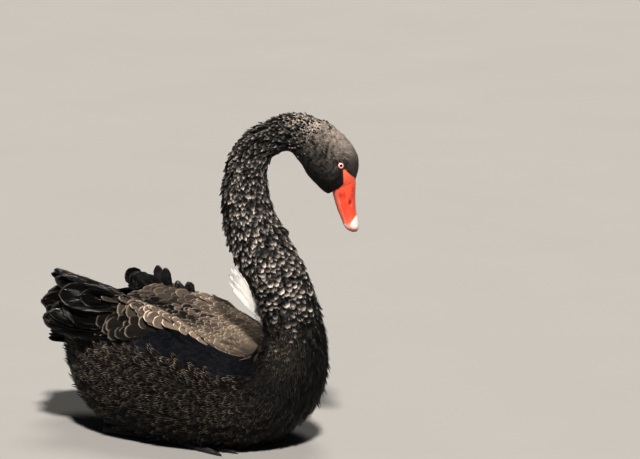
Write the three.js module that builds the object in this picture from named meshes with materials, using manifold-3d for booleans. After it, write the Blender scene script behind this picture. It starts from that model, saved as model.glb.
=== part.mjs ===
// A life-size still model of a black swan afloat, set down on its belly: the body low and broad,
// the neck bent back and over in a hook, the head bowed with the red bill pointing down.
// Millimetres, +Z up, +X the way the breast faces, +Y the bird's left. The origin is on the floor,
// under the middle of the belly, which rests on a flat. The neck turns to the bird's left as it rises.
// Every piece of flesh comes from one line of stations that runs from the stern over the breast and
// up the neck to the bill, so neighbouring pieces meet along one station with a thin gap between.
import * as THREE from "three";
import { mergeVertices } from "three/addons/utils/BufferGeometryUtils.js";
import Module from "manifold-3d";

const wasm = await Module();
wasm.setup();
const { Manifold, Mesh } = wasm;

const GAP = 0.3;
const NECK_AXIS_X = 150;
const LEFT = 1;
const RIGHT = -1;

const vec = (x, y, z) => new THREE.Vector3(x, y, z);
const rad = THREE.MathUtils.degToRad;
const mix = (a, b, t) => a + (b - a) * t;

// A station is a cut across the body seen from the side: back and belly are its upper and lower ends
// [x, z], wide is its half width, at is how far up it is widest (0 to 1), crown and keel are how square
// it is above and below (2 is an ellipse), turn is degrees to the left.
const station = (name, back, belly, wide, at, crown, keel, turn) =>
  ({ name, back, belly, wide, at, crown, keel, turn });

// Body stations, stern to forehead.
const stations = [
  station("stern", [-205, 148], [-212, 120], 20, 0.5, 2, 2, 0),
  station("vent", [-195, 160], [-207, 96], 46, 0.5, 2, 2, 0),
  station("rump", [-168, 172], [-190, 58], 76, 0.52, 2.3, 2.1, 0),
  station("hips", [-130, 184], [-150, 18], 102, 0.5, 2.8, 2.3, 0),
  station("loins", [-85, 190], [-96, -3], 117, 0.48, 3, 2.5, 0),
  station("belly", [-32, 181], [-36, -5], 124, 0.49, 3, 2.6, 0),
  station("ribs", [20, 166], [24, -5], 123, 0.52, 3, 2.6, 0),
  station("keel", [62, 152], [78, -3], 115, 0.55, 2.8, 2.5, 0),
  station("shoulders", [92, 140], [122, 6], 103, 0.55, 2.5, 2.3, 0),
  station("breast", [108, 136], [160, 30], 89, 0.54, 2.2, 2.1, 0),
  station("breast front", [115, 139], [188, 62], 76, 0.52, 2, 2, 0),
  station("crop", [118, 149], [205, 104], 64, 0.5, 2, 2, 2),
  station("neck root", [119, 163], [209, 146], 55, 0.5, 2, 2, 4),
  station("neck foot", [116, 184], [202, 192], 48, 0.5, 2, 2, 8),
  station("low neck", [107, 211], [188, 232], 44, 0.5, 2, 2, 12),
  station("bend", [93, 236], [173, 266], 43, 0.5, 2, 2, 16),
  station("lean", [76, 264], [155, 298], 41.5, 0.5, 2, 2, 19),
  station("back bend", [63, 301], [138, 328], 39, 0.5, 2, 2, 21),
  station("mid neck", [58, 340], [128, 355], 36, 0.5, 2, 2, 22),
  station("high neck", [59, 378], [124, 378], 33, 0.5, 2, 2, 22),
  station("turn", [66, 409], [124, 395], 30, 0.5, 2, 2, 22),
  station("rise", [83, 437], [129, 407], 27, 0.5, 2, 2, 22),
  station("hook", [108, 458], [137, 416], 26, 0.5, 2, 2, 22),
  station("arch", [157, 477], [156, 420], 27, 0.5, 2, 2, 22),
  station("nape", [204, 467], [171, 405], 31, 0.5, 2, 2, 22),
  station("crown", [226, 452], [181, 390], 33, 0.52, 2, 2, 22),
  station("brow", [241, 436], [192, 378.5], 32, 0.53, 2, 2, 22),
  station("eyes", [249.5, 420], [202, 369.5], 28.5, 0.53, 2, 2, 22),
  station("face", [251, 404], [209, 366.5], 23, 0.53, 2, 2, 22),
  station("bill root", [247.5, 387], [214.5, 368.5], 17, 0.5, 2, 2, 22),
];
const stationAt = (name) => stations.findIndex((s) => s.name === name);

// Where the flesh is parted, as station numbers.
const partedAt = {
  neckFoot: stationAt("neck root") + 0.5,
  neckMiddle: stationAt("lean") + 0.4,
  neckUpper: stationAt("high neck") + 0.3,
  head: stationAt("arch") + 0.9,
  billRoot: stationAt("bill root"),
};

// Bill stations, from the feathers to the tip, in the same terms: culmen above, chin below.
const billStations = [
  station("root", [247.2, 386.4], [214.8, 368], 16.5, 0.4, 2, 2.4, 22),
  station("nostril", [246.6, 362], [221.5, 346], 14, 0.38, 2.1, 2.6, 22),
  station("blade", [247.6, 342], [227.5, 332], 13, 0.36, 2.3, 2.6, 22),
  station("spoon", [250.2, 330], [231, 323.5], 13, 0.36, 2.4, 2.6, 22),
  station("rim", [251.6, 320.5], [235.4, 317], 10.5, 0.4, 2.2, 2.4, 22),
  station("tip", [249.4, 314], [240.5, 313.6], 4.5, 0.5, 2, 2, 22),
];
const billLast = billStations.length - 1;
const MOUTH_LEVEL = 0.24;
const BILL_START = 0.02;

// One value of a station line at station number s, on a smooth curve through the stations.
function smooth(values, s) {
  const last = values.length - 1;
  const i = Math.min(Math.max(Math.floor(s), 0), last - 1);
  const reflect = (j) => (j < 0 ? 2 * values[0] - values[1] : 2 * values[last] - values[last - 1]);
  const [a, b, c, d] = [i - 1, i, i + 1, i + 2].map((j) => (j < 0 || j > last ? reflect(j) : values[j]));
  const t = s - i;
  const [bend, turn] = [2 * a - 5 * b + 4 * c - d, 3 * b - a - 3 * c + d];
  return 0.5 * (2 * b + (c - a) * t + bend * t * t + turn * t ** 3);
}

// A point of the sagittal plane with its offset to the left, turned about the upright neck axis.
function turned(x, left, z, degrees) {
  const reach = x - NECK_AXIS_X;
  const a = rad(degrees);
  const forward = reach * Math.cos(a) - left * Math.sin(a);
  return vec(NECK_AXIS_X + forward, reach * Math.sin(a) + left * Math.cos(a), z);
}

// The skin along a row of stations: at station number s, at an angle round the cut (0 at the back,
// 90 degrees at the left), grown outwards by so many millimetres.
function skinOf(rows) {
  const values = (pick) => rows.map(pick);
  const line = {
    wide: values((r) => r.wide), at: values((r) => r.at), crown: values((r) => r.crown),
    keel: values((r) => r.keel), turn: values((r) => r.turn),
    backX: values((r) => r.back[0]), backZ: values((r) => r.back[1]),
    bellyX: values((r) => r.belly[0]), bellyZ: values((r) => r.belly[1]),
  };
  return (s, angle, grow = 0) => {
    const v = (key) => smooth(line[key], s);
    const rise = vec(v("backX") - v("bellyX"), 0, v("backZ") - v("bellyZ"));
    const height = rise.length();
    const up = rise.normalize();
    const level = v("at") * height;
    const power = 2 / (Math.cos(angle) >= 0 ? v("crown") : v("keel"));
    const reach = Math.cos(angle) >= 0 ? height - level + grow : level + grow;
    const along = level + Math.sign(Math.cos(angle)) * reach * Math.abs(Math.cos(angle)) ** power;
    const left = (v("wide") + grow) * Math.sign(Math.sin(angle)) * Math.abs(Math.sin(angle)) ** power;
    return turned(v("bellyX") + up.x * along, left, v("bellyZ") + up.z * along, v("turn"));
  };
}
const skin = skinOf(stations);
const billSkin = skinOf(billStations);

// The outward direction of the skin at a station and angle.
function outward(s, angle) {
  const step = 0.02;
  const along = skin(s + step, angle).sub(skin(s - step, angle));
  const round = skin(s, angle + step).sub(skin(s, angle - step));
  return round.cross(along).normalize();
}

// A closed geometry through rings of points, all of one length, with flat ends.
function loft(rings) {
  const n = rings[0].length;
  const last = (rings.length - 1) * n;
  const index = [];
  for (let i = 0; i + 1 < rings.length; i++)
    for (let k = 0; k < n; k++) {
      const a = i * n + k;
      const b = i * n + ((k + 1) % n);
      index.push(a, b, b + n, a, b + n, a + n);
    }
  for (let k = 1; k + 1 < n; k++) index.push(0, k + 1, k, last, last + k, last + k + 1);
  const geometry = new THREE.BufferGeometry().setFromPoints(rings.flat());
  geometry.setIndex(index);
  return geometry;
}

// A closed geometry between two grids of points, split into triangles alike on both faces.
function slab(over, under) {
  const columns = over[0].length;
  const count = over.length * columns;
  const index = [];
  for (let i = 0; i + 1 < over.length; i++)
    for (let j = 0; j + 1 < columns; j++) {
      const a = i * columns + j;
      const [b, c, d] = [a + 1, a + columns + 1, a + columns];
      index.push(a, b, c, a, c, d);
      index.push(a + count, c + count, b + count, a + count, d + count, c + count);
    }
  const border = [];
  for (let j = 0; j < columns; j++) border.push(j);
  for (let i = 1; i < over.length; i++) border.push(i * columns + columns - 1);
  for (let j = columns - 2; j >= 0; j--) border.push((over.length - 1) * columns + j);
  for (let i = over.length - 2; i >= 1; i--) border.push(i * columns);
  border.forEach((a, k) => {
    const b = border[(k + 1) % border.length];
    index.push(a, b + count, b, a, a + count, b + count);
  });
  const geometry = new THREE.BufferGeometry().setFromPoints([...over.flat(), ...under.flat()]);
  geometry.setIndex(index);
  return geometry;
}

// A solid of a closed geometry, turned right side out.
function solid(geometry) {
  const bare = new THREE.BufferGeometry();
  bare.setAttribute("position", geometry.getAttribute("position"));
  if (geometry.index) bare.setIndex(geometry.index);
  const merged = mergeVertices(bare, 1e-4);
  const triVerts = Uint32Array.from(merged.index.array);
  const vertProperties = merged.attributes.position.array;
  const made = new Manifold(new Mesh({ numProp: 3, vertProperties, triVerts }));
  if (made.volume() > 0) return made;
  for (let i = 0; i < triVerts.length; i += 3) triVerts.subarray(i + 1, i + 3).reverse();
  return new Manifold(new Mesh({ numProp: 3, vertProperties, triVerts }));
}

const joined = (pieces) => pieces.reduce((a, b) => a.add(b));
const less = (made, cutters) => cutters.reduce((a, b) => a.subtract(b), made);

// A solid of one of three.js's own shapes, put in place by a matrix.
const placed = (geometry, matrix) => solid(geometry.applyMatrix4(matrix));
const sphere = (centre, radius, around = 12) =>
  placed(new THREE.SphereGeometry(radius, around, around * 0.6), new THREE.Matrix4().setPosition(centre));

// A round bar through points, each with its own radius.
function bar(points, radii, around = 8) {
  const last = points.length - 1;
  const rings = points.map((point, i) => {
    const along = points[Math.min(i + 1, last)].clone().sub(points[Math.max(i - 1, 0)]).normalize();
    const side = vec(-along.y, along.x, 0).normalize();
    const up = along.clone().cross(side);
    return Array.from({ length: around }, (_, k) => {
      const a = (2 * Math.PI * (k + 0.5)) / around;
      const out = side.clone().multiplyScalar(Math.cos(a)).addScaledVector(up, Math.sin(a));
      return point.clone().addScaledVector(out, radii[i]);
    });
  });
  return solid(loft(rings));
}

// A vane's half width at t from its root to its tip, as a share of its greatest: it widens from the
// root, and from ROUND_FROM on it closes in a round tip.
const ROOT_SHARE = 0.55;
const ROUND_FROM = 0.68;
const TIP_SHARE = 0.3;
function vaneShare(t) {
  if (t < ROUND_FROM) return mix(ROOT_SHARE, 1, t / ROUND_FROM);
  const over = (t - ROUND_FROM) / (1 - ROUND_FROM);
  return mix(Math.sqrt(1 - over * over), 1, TIP_SHARE * over);
}

// One feather vane, grown by so many millimetres all round where grow is given. It leaves its root
// along heading, its upper face towards face, and by its tip it has bent up by bend degrees and turned
// about its own shaft by twist degrees. Its edges hang by cup times its half width.
const VANE_EDGE = 0.5;
const VANE_SIDE = 1;
const PLAIN_VANE = { thick: 1.6, bend: 0, twist: 0, cup: 0.12, steps: 4, grow: 0 };
function vane(given) {
  const { root, heading, face, length, width } = given;
  const { thick, bend, twist, cup, steps, grow } = { ...PLAIN_VANE, ...given };
  const along = heading.clone().normalize();
  const side = face.clone().cross(along).normalize();
  const over = [];
  const under = [];
  const spine = root.clone().addScaledVector(face.clone().normalize(), grow);
  for (let i = 0; i <= steps; i++) {
    const t = i / steps;
    const turnNow = new THREE.Quaternion().setFromAxisAngle(side, -rad(bend) * t * t);
    const shaft = along.clone().applyQuaternion(turnNow);
    const roll = new THREE.Quaternion().setFromAxisAngle(shaft, rad(twist) * t);
    const across = side.clone().applyQuaternion(roll);
    const normal = shaft.clone().cross(across);
    if (i > 0) spine.addScaledVector(shaft, (length + grow) / steps);
    const half = (width / 2) * vaneShare(t) + grow;
    const middle = mix(thick, VANE_EDGE, t) + 2 * grow;
    const edge = mix(Math.min(thick, VANE_SIDE), VANE_EDGE, t) + 2 * grow;
    const at = (k, depth) => {
      const drop = Math.abs(k) * cup * half + depth;
      return spine.clone().addScaledVector(across, k * half).addScaledVector(normal, -drop);
    };
    over.push(cup ? [at(-1, 0), at(0, 0), at(1, 0)] : [at(-1, 0), at(1, 0)]);
    under.push(cup ? [at(-1, edge), at(0, middle), at(1, edge)] : [at(-1, edge), at(1, edge)]);
  }
  return solid(slab(over, under));
}

const materials = {
  plumage: new THREE.MeshStandardMaterial({ color: 0x1a1714, roughness: 0.6, metalness: 0 }),
  mantle: new THREE.MeshStandardMaterial({ color: 0x4a4038, roughness: 0.7, metalness: 0 }),
  flight: new THREE.MeshStandardMaterial({ color: 0xf2efe6, roughness: 0.7, metalness: 0 }),
  bill: new THREE.MeshStandardMaterial({ color: 0xd8321c, roughness: 0.35, metalness: 0 }),
  nail: new THREE.MeshStandardMaterial({ color: 0xf0e2d8, roughness: 0.35, metalness: 0 }),
  eye: new THREE.MeshStandardMaterial({ color: 0xd9a39a, roughness: 0.1, metalness: 0 }),
  leg: new THREE.MeshStandardMaterial({ color: 0x26262a, roughness: 0.5, metalness: 0 }),
};
const swan = new THREE.Group();

// Adds a solid to the swan as a named piece. It keeps only its largest closed surface.
function add(name, made, material) {
  const kept = made.decompose().reduce((a, b) => (b.volume() > a.volume() ? b : a));
  const { vertProperties, triVerts } = kept.getMesh();
  const geometry = new THREE.BufferGeometry();
  geometry.setAttribute("position", new THREE.BufferAttribute(Float32Array.from(vertProperties), 3));
  geometry.setIndex(new THREE.BufferAttribute(Uint32Array.from(triVerts), 1));
  geometry.computeVertexNormals();
  const piece = new THREE.Mesh(geometry, material);
  piece.name = name;
  swan.add(piece);
}

// A length of flesh between two stations.
function flesh(from, to, steps, around, grow = 0) {
  const rings = [];
  for (let i = 0; i <= steps; i++) {
    const s = mix(from, to, i / steps);
    rings.push(Array.from({ length: around }, (_, k) => skin(s, (2 * Math.PI * k) / around, grow)));
  }
  return solid(loft(rings));
}

// Everything under the floor, and the flat that the belly rests on.
const floor = placed(new THREE.BoxGeometry(900, 900, 100), new THREE.Matrix4().setPosition(0, 0, -50));

const HALF_GAP_IN_STATIONS = 0.006;
const BODY_STEPS = 24;
const BODY_AROUND = 30;
const torsoGrown = flesh(0, partedAt.neckFoot, BODY_STEPS, BODY_AROUND, GAP);

// Legs, folded flat beside the belly: the shank runs forward along the floor from the heel.
const SHANK_LENGTH = 96;
const FOOT_JOINT = { x: -18, y: 66 };
const shankRadii = [8.5, 6.2, 5.6, 6.4, 7.6];
function shank(side, grow = 0) {
  const points = shankRadii.map((r, i) => {
    const t = i / (shankRadii.length - 1);
    return vec(FOOT_JOINT.x - SHANK_LENGTH * (1 - t), side * (FOOT_JOINT.y + 6 * (1 - t)), r - 0.9);
  });
  return bar(points, shankRadii.map((r) => r + grow), 10).subtract(floor);
}

// A foot: three webbed front toes and a small hind toe, flat on the floor.
const toes = [
  { name: "inner", length: 90, out: -13 },
  { name: "middle", length: 118, out: -1 },
  { name: "outer", length: 108, out: 11 },
];
const HIND_TOE = { length: 24, out: 150 };
const WEB_THICKNESS = 2;
const WEB_REACH = 0.4;
const JOINT_CLEARANCE = 8.4;
function toeEnd(side, toe, reach) {
  const a = rad(toe.out);
  const x = FOOT_JOINT.x + JOINT_CLEARANCE + reach * Math.cos(a);
  return vec(x, side * (FOOT_JOINT.y + reach * Math.sin(a)), 0);
}
function toeBar(side, toe, grow) {
  const knuckles = [0, 0.4, 0.88, 1];
  const radii = [5.6, 4.8, 3.6, 1.2];
  const points = knuckles.map((t, i) => toeEnd(side, toe, toe.length * t).setZ(radii[i] - 0.6));
  return bar(points, radii.map((r) => r + grow), 6);
}
function foot(side, grow = 0) {
  const outline = [toeEnd(side, toes[0], 0)];
  toes.forEach((toe, i) => {
    outline.push(toeEnd(side, toe, toe.length * 0.93 + grow));
    const next = toes[i + 1];
    if (!next) return;
    const between = { out: (toe.out + next.out) / 2 };
    outline.push(toeEnd(side, between, (toe.length + next.length) * WEB_REACH + grow));
  });
  const shape = new THREE.Shape(outline.map((p) => new THREE.Vector2(p.x, p.y)));
  const web = new THREE.ExtrudeGeometry(shape, { depth: WEB_THICKNESS + grow, bevelEnabled: false });
  const pieces = [solid(web), ...[...toes, HIND_TOE].map((toe) => toeBar(side, toe, grow))];
  return joined(pieces).subtract(floor);
}

// The torso: stern, back, flanks, belly and breast up to the foot of the neck.
function torso() {
  const cutters = [LEFT, RIGHT].flatMap((side) => [shank(side, GAP), foot(side, GAP)]);
  const whole = flesh(0, partedAt.neckFoot - HALF_GAP_IN_STATIONS, BODY_STEPS, BODY_AROUND);
  return less(whole, [floor, ...cutters]);
}
add("torso", torso(), materials.plumage);
for (const [name, side] of [["left", LEFT], ["right", RIGHT]]) {
  add(`shank_${name}`, shank(side), materials.leg);
  add(`foot_${name}`, foot(side).subtract(shank(side, GAP)), materials.leg);
}

// The neck, in three lengths.
const neckParts = [
  ["neck_lower", partedAt.neckFoot, partedAt.neckMiddle, 8],
  ["neck_middle", partedAt.neckMiddle, partedAt.neckUpper, 7],
  ["neck_upper", partedAt.neckUpper, partedAt.head, 9],
];
const NECK_AROUND = 20;
for (const [name, from, to, steps] of neckParts) {
  const length = flesh(from + HALF_GAP_IN_STATIONS, to - HALF_GAP_IN_STATIONS, steps, NECK_AROUND);
  add(name, length, materials.plumage);
}

// The head, with an eye in each side and its lids round it.
const EYE = { station: stationAt("eyes") - 0.4, angle: rad(69), radius: 7.5, proud: 1.3 };
const LIDS = { opening: 4.8, thick: 1.1, long: 1.1, high: 0.92 };
function eyeAt(side) {
  const at = skin(EYE.station, side * EYE.angle);
  const out = outward(EYE.station, side * EYE.angle);
  if (out.y * side < 0) out.negate();
  return { at, out, centre: at.clone().addScaledVector(out, EYE.proud - EYE.radius) };
}
function lids(side) {
  const { at, out } = eyeAt(side);
  const ring = new THREE.TorusGeometry(LIDS.opening, LIDS.thick, 5, 14).scale(LIDS.long, LIDS.high, 1);
  const along = skin(EYE.station + 0.5, side * EYE.angle).sub(at).projectOnPlane(out).normalize();
  const matrix = new THREE.Matrix4().makeBasis(along, out.clone().cross(along), out).setPosition(at);
  return placed(ring, matrix);
}
function head() {
  const whole = flesh(partedAt.head + HALF_GAP_IN_STATIONS, partedAt.billRoot, 11, 24);
  const sockets = [LEFT, RIGHT].map((side) => sphere(eyeAt(side).centre, EYE.radius + GAP));
  return less(joined([whole, lids(LEFT), lids(RIGHT)]), sockets);
}
add("head", head(), materials.plumage);
add("eye_left", sphere(eyeAt(LEFT).centre, EYE.radius), materials.eye);
add("eye_right", sphere(eyeAt(RIGHT).centre, EYE.radius), materials.eye);

// The bill: the upper half down to the mouth line, the lower half narrower inside it, and the nail
// let into the tip of the upper half. The thin gap between the halves is the line of the mouth.
const BILL_STEPS = 9;
const BILL_AROUND = 16;
const NOSTRIL = { station: 1.15, angle: rad(48), length: 9, height: 3.6, depth: 2.4 };
const NAIL = { station: billLast - 1.5, radii: vec(8.5, 9, 9), sunk: 3.2 };
// The angle at which the bill's skin at station s is so many millimetres above the line of the mouth.
function angleAbove(s, above) {
  const chin = billSkin(s, Math.PI);
  const culmen = billSkin(s, 0);
  const mouth = chin.clone().lerp(culmen, MOUTH_LEVEL);
  const up = culmen.sub(chin).normalize();
  let [high, low] = [Math.PI / 2, Math.PI];
  for (let i = 0; i < 30; i++) {
    const middle = (high + low) / 2;
    if (billSkin(s, middle).sub(mouth).dot(up) > above) high = middle;
    else low = middle;
  }
  return high;
}
function billHalf(upper) {
  const rings = Array.from({ length: BILL_STEPS + 1 }, (_, i) => {
    const s = mix(BILL_START, billLast, i / BILL_STEPS);
    const edge = angleAbove(s, upper ? GAP / 2 : -GAP / 2);
    const [from, to] = upper ? [-edge, edge] : [edge, 2 * Math.PI - edge];
    return Array.from({ length: BILL_AROUND }, (_, k) => billSkin(s, mix(from, to, k / (BILL_AROUND - 1))));
  });
  return solid(loft(rings));
}
function nailZone(grow = 0) {
  const at = billSkin(NAIL.station, 0);
  const along = billSkin(NAIL.station + 0.3, 0).sub(billSkin(NAIL.station - 0.3, 0)).normalize();
  const up = at.clone().sub(billSkin(NAIL.station, Math.PI)).projectOnPlane(along).normalize();
  const matrix = new THREE.Matrix4().makeBasis(along, up.clone().cross(along), up);
  matrix.setPosition(at.addScaledVector(up, -NAIL.sunk).addScaledVector(up, NAIL.radii.z * 0.5));
  const { x, y, z } = NAIL.radii;
  return placed(new THREE.SphereGeometry(1, 14, 8).scale(x + grow, y + grow, z + grow), matrix);
}
function nostril(side) {
  const angle = side * NOSTRIL.angle;
  const at = billSkin(NOSTRIL.station, angle);
  const along = billSkin(NOSTRIL.station + 0.3, angle).sub(at).normalize();
  const round = billSkin(NOSTRIL.station, angle + 0.1).sub(at).projectOnPlane(along).normalize();
  const matrix = new THREE.Matrix4().makeBasis(along, round, along.clone().cross(round)).setPosition(at);
  const { length, height, depth } = NOSTRIL;
  return placed(new THREE.SphereGeometry(1, 8, 6).scale(length / 2, height / 2, depth), matrix);
}
const billUpper = less(billHalf(true), [nostril(LEFT), nostril(RIGHT)]);
add("bill_upper", billUpper.subtract(nailZone(GAP)), materials.bill);
add("bill_nail", billUpper.intersect(nailZone()), materials.nail);
add("bill_lower", billHalf(false), materials.bill);

// A repeatable random draw between -1 and 1.
function drawer(seed) {
  let state = seed;
  return () => {
    state = (Math.imul(state, 1664525) + 1013904223) >>> 0;
    return state / 2 ** 31 - 1;
  };
}

// Folded wings. Each is a shield over the side of the back, from the wrist at the foot of the neck to
// behind the hips, with its upper edge raised in a ridge that climbs to the rear. t runs along it
// from 0 at the wrist to 1 at the rear, and its angles are degrees round the body from the back.
const WING = { front: stationAt("breast front") - 0.15, rear: stationAt("loins") + 0.1, top: 17, low: 63 };
const WRIST = { top: 42, low: 64, length: 0.28 };
const RIDGE = { angle: 27, spread: 12, front: 2, rear: 14, from: 0.5, to: 0.84 };
const WING_THICKNESS = 4;
const WRIST_THICKNESS = 2.5;
const SUNK = 6;
const BODY_REACH = 200;
function wingLift(t, angle) {
  const ridge = mix(RIDGE.front, RIDGE.rear, THREE.MathUtils.smoothstep(t, RIDGE.from, RIDGE.to));
  const across = Math.exp(-(((angle - RIDGE.angle) / RIDGE.spread) ** 2));
  return mix(WRIST_THICKNESS, WING_THICKNESS, Math.min(t / WRIST.length, 1)) + ridge * across;
}
const onWing = (side, t, angle, out) =>
  skin(mix(WING.front, WING.rear, t), side * rad(angle), out);
function wingShield(side, grow = 0) {
  const steps = 10;
  const bands = 7;
  const past = grow / BODY_REACH;
  const grid = (lift) =>
    Array.from({ length: steps + 1 }, (_, i) =>
      Array.from({ length: bands + 1 }, (_, j) => {
        const t = mix(-past, 1 + past, i / steps);
        const open = Math.sin(Math.min(Math.max(t, 0) / WRIST.length, 1) * Math.PI / 2);
        const top = mix(WRIST.top, WING.top, open) - grow;
        const low = mix(WRIST.low, WING.low, open) + grow;
        return onWing(side, t, mix(top, low, j / bands), lift(t, mix(top, low, j / bands)));
      }),
    );
  return solid(slab(grid((t, angle) => wingLift(t, angle) + grow), grid(() => -SUNK)));
}

// Rows of wing feathers: where each row is rooted, how its feathers point (in towards the tail and
// up), their size, how far they bend up, and how much their edges hang. The left wing is ruffled, and
// left gives what is different there.
const wingRows = [
  // coverts, then secondaries
  { count: 5, t: 0.82, top: 31, low: 60, inward: 0.14, rise: 0, length: 70, width: 42, bend: -8, cup: 0 },
  { count: 5, t: 0.97, top: 35, low: 66, inward: 0.26, rise: -0.02, length: 98, width: 46, bend: 4, cup: 0 },
  // tertials, long and low at the outside, short and curled up at the inside
  {
    count: 4, t: 0.95, top: 22, low: 50, inward: 0.06, rise: 0.03, length: 128, width: 46, bend: 28,
    left: { bend: 6 },
  },
  {
    count: 4, t: 0.95, top: 20, low: 42, inward: 0, rise: 0.06, length: 102, width: 42, bend: 38,
    left: { t: 0.84, bend: 14 },
  },
  {
    count: 3, t: 0.97, top: 19, low: 34, inward: 0, rise: 0.1, length: 70, width: 34, bend: 55,
    left: { t: 0.8, bend: 60 },
  },
];
const TERTIAL_CUP = 0.16;
const CURLED_FROM = 20;
const ROOT_DEPTH = 4;
function wingFeather(side, row, angle, random, grow) {
  const depth = wingLift(row.t, angle) - ROOT_DEPTH;
  const root = onWing(side, row.t, angle, depth);
  const rearward = onWing(side, row.t + 0.08, angle, depth).sub(root).normalize();
  const round = onWing(side, row.t, angle + 8, depth).sub(root);
  const face = round.cross(rearward).multiplyScalar(side).normalize();
  const heading = vec(-1, -side * row.inward, row.rise);
  heading.y += 0.06 * random();
  return vane({
    root, heading, face: face.projectOnPlane(heading.clone().normalize()), width: row.width,
    length: row.length * (1 + 0.08 * random()), bend: row.bend * (1 + 0.15 * random()),
    twist: 8 * random(), cup: row.cup ?? TERTIAL_CUP, steps: row.bend > CURLED_FROM ? 5 : 3, grow,
  });
}
function wing(side, grow = 0) {
  const random = drawer(side === LEFT ? 11 : 29);
  const rows = wingRows.map((row) => (side === LEFT ? { ...row, ...row.left } : row));
  const vanes = rows.flatMap((row) =>
    Array.from({ length: row.count }, (_, i) =>
      wingFeather(side, row, mix(row.low, row.top, i / (row.count - 1)) + 1.5 * random(), random, grow),
    ),
  );
  return joined([wingShield(side, grow), ...vanes]);
}

// Scapulars: the shoulder feathers, a thin shield over the back beside the wing's ridge that ends in
// rows of broad round feathers over the rump. Places across it are fractions of the half width.
const SCAPULARS = { front: stationAt("keel") + 0.5, rear: stationAt("hips") + 0.5 };
const SCAPULAR_SPAN = { middle: 0.03, outer: 0.5 };
const SCAPULAR_VANES = { innermost: 0.13, outermost: 0.44 };
const SCAPULAR_THICKNESS = 7;
const scapularRows = [
  { count: 3, t: 0.72, length: 58, width: 38, rise: 0.1, bend: -12 },
  { count: 3, t: 0.95, length: 72, width: 42, rise: -0.06, bend: -16 },
];
const acrossBack = (fraction) => Math.asin(fraction ** 1.5);
const onBack = (side, t, fraction, out) =>
  skin(mix(SCAPULARS.front, SCAPULARS.rear, t), side * acrossBack(fraction), out);
const scapularLift = (t) => SCAPULAR_THICKNESS * Math.min(1, 0.25 + 2.5 * t);
function scapularShield(side, grow = 0) {
  const [steps, bands] = [7, 3];
  const { middle, outer } = SCAPULAR_SPAN;
  const grid = (lift) =>
    Array.from({ length: steps + 1 }, (_, i) =>
      Array.from({ length: bands + 1 }, (_, j) =>
        onBack(side, i / steps, mix(middle - grow / BODY_REACH, outer, j / bands), lift(i / steps)),
      ),
    );
  return solid(slab(grid((t) => scapularLift(t) + grow), grid(() => -SUNK)));
}

// All of the space on the other side of the middle, and the first fraction of a millimetre on this one.
const MIDDLE_GAP = 0.2;
function otherSide(side) {
  const box = new THREE.BoxGeometry(900, 400, 900);
  return placed(box, new THREE.Matrix4().setPosition(0, side * (MIDDLE_GAP - 200), 0));
}
function scapulars(side, grow = 0) {
  const random = drawer(side === LEFT ? 5 : 17);
  const vanes = scapularRows.flatMap((row) =>
    Array.from({ length: row.count }, (_, i) => {
      const fraction = mix(SCAPULAR_VANES.innermost, SCAPULAR_VANES.outermost, i / (row.count - 1));
      const heading = vec(-1, 0.05 * random(), row.rise);
      const face = vec(0.1, side * 0.5 * fraction, 1).projectOnPlane(heading.clone().normalize());
      const root = onBack(side, row.t, fraction, scapularLift(row.t) - ROOT_DEPTH + 0.6 * i);
      const length = row.length * (1 + 0.06 * random());
      return vane({ ...row, root, heading, face, cup: 0, length, grow });
    }),
  );
  return joined([scapularShield(side, grow), ...vanes]).subtract(otherSide(side));
}

// Primaries: the long white flight feathers, laid back under the tertials and over the tail.
const PRIMARIES = { count: 5, root: vec(-100, 76, 174), length: 132, width: 22 };
const PRIMARY_SPREAD = vec(-3, -4.5, 2.2);
function primaries(side) {
  const { count, root, length, width } = PRIMARIES;
  const vanes = Array.from({ length: count }, (_, i) => {
    const from = root.clone().addScaledVector(PRIMARY_SPREAD, i);
    const heading = vec(-1, -0.38 + 0.03 * i, -0.08);
    return vane({
      root: vec(from.x, side * from.y, from.z), heading: vec(heading.x, side * heading.y, heading.z),
      face: vec(0.05, side * 0.35, 1), length: length * (1 - 0.06 * i), width, cup: 0, steps: 3, thick: 2,
    });
  });
  const core = vane({
    root: vec(root.x - 6, side * (root.y - 10), root.z + 10), heading: vec(-1, -side * 0.34, -0.12),
    face: vec(-0.05, side * 0.3, 1), length: 84, width: 34, thick: 15, cup: 0.05, steps: 3,
  });
  return joined([core, ...vanes]);
}

// The tail: a fan of stiff feathers in two tiers, rooted in the stern.
const TAIL = { root: vec(-158, 0, 130), spreadDegrees: 24, length: 92, width: 27 };
const tailTiers = [
  { count: 8, lift: 0, length: 1, slope: -0.03 },
  { count: 5, lift: 5, length: 0.78, slope: -0.02 },
];
function tail() {
  const vanes = tailTiers.flatMap(({ count, lift, length, slope }) =>
    Array.from({ length: count }, (_, i) => {
      const across = mix(-1, 1, i / (count - 1));
      const a = rad(TAIL.spreadDegrees * across);
      return vane({
        root: TAIL.root.clone().add(vec(0, 16 * across, lift - 5 * across * across)),
        heading: vec(-Math.cos(a), Math.sin(a), slope), face: vec(0, 0.35 * across, 1),
        length: TAIL.length * length * (1 - 0.1 * across * across), width: TAIL.width,
        steps: 3, cup: 0, thick: 2.4,
      });
    }),
  );
  const core = vane({
    root: TAIL.root.clone().add(vec(-4, 0, 7)), heading: vec(-1, 0, -0.03), face: vec(0, 0, 1),
    length: 70, width: 66, thick: 12, cup: 0, steps: 3,
  });
  return joined([core, ...vanes]);
}

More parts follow.
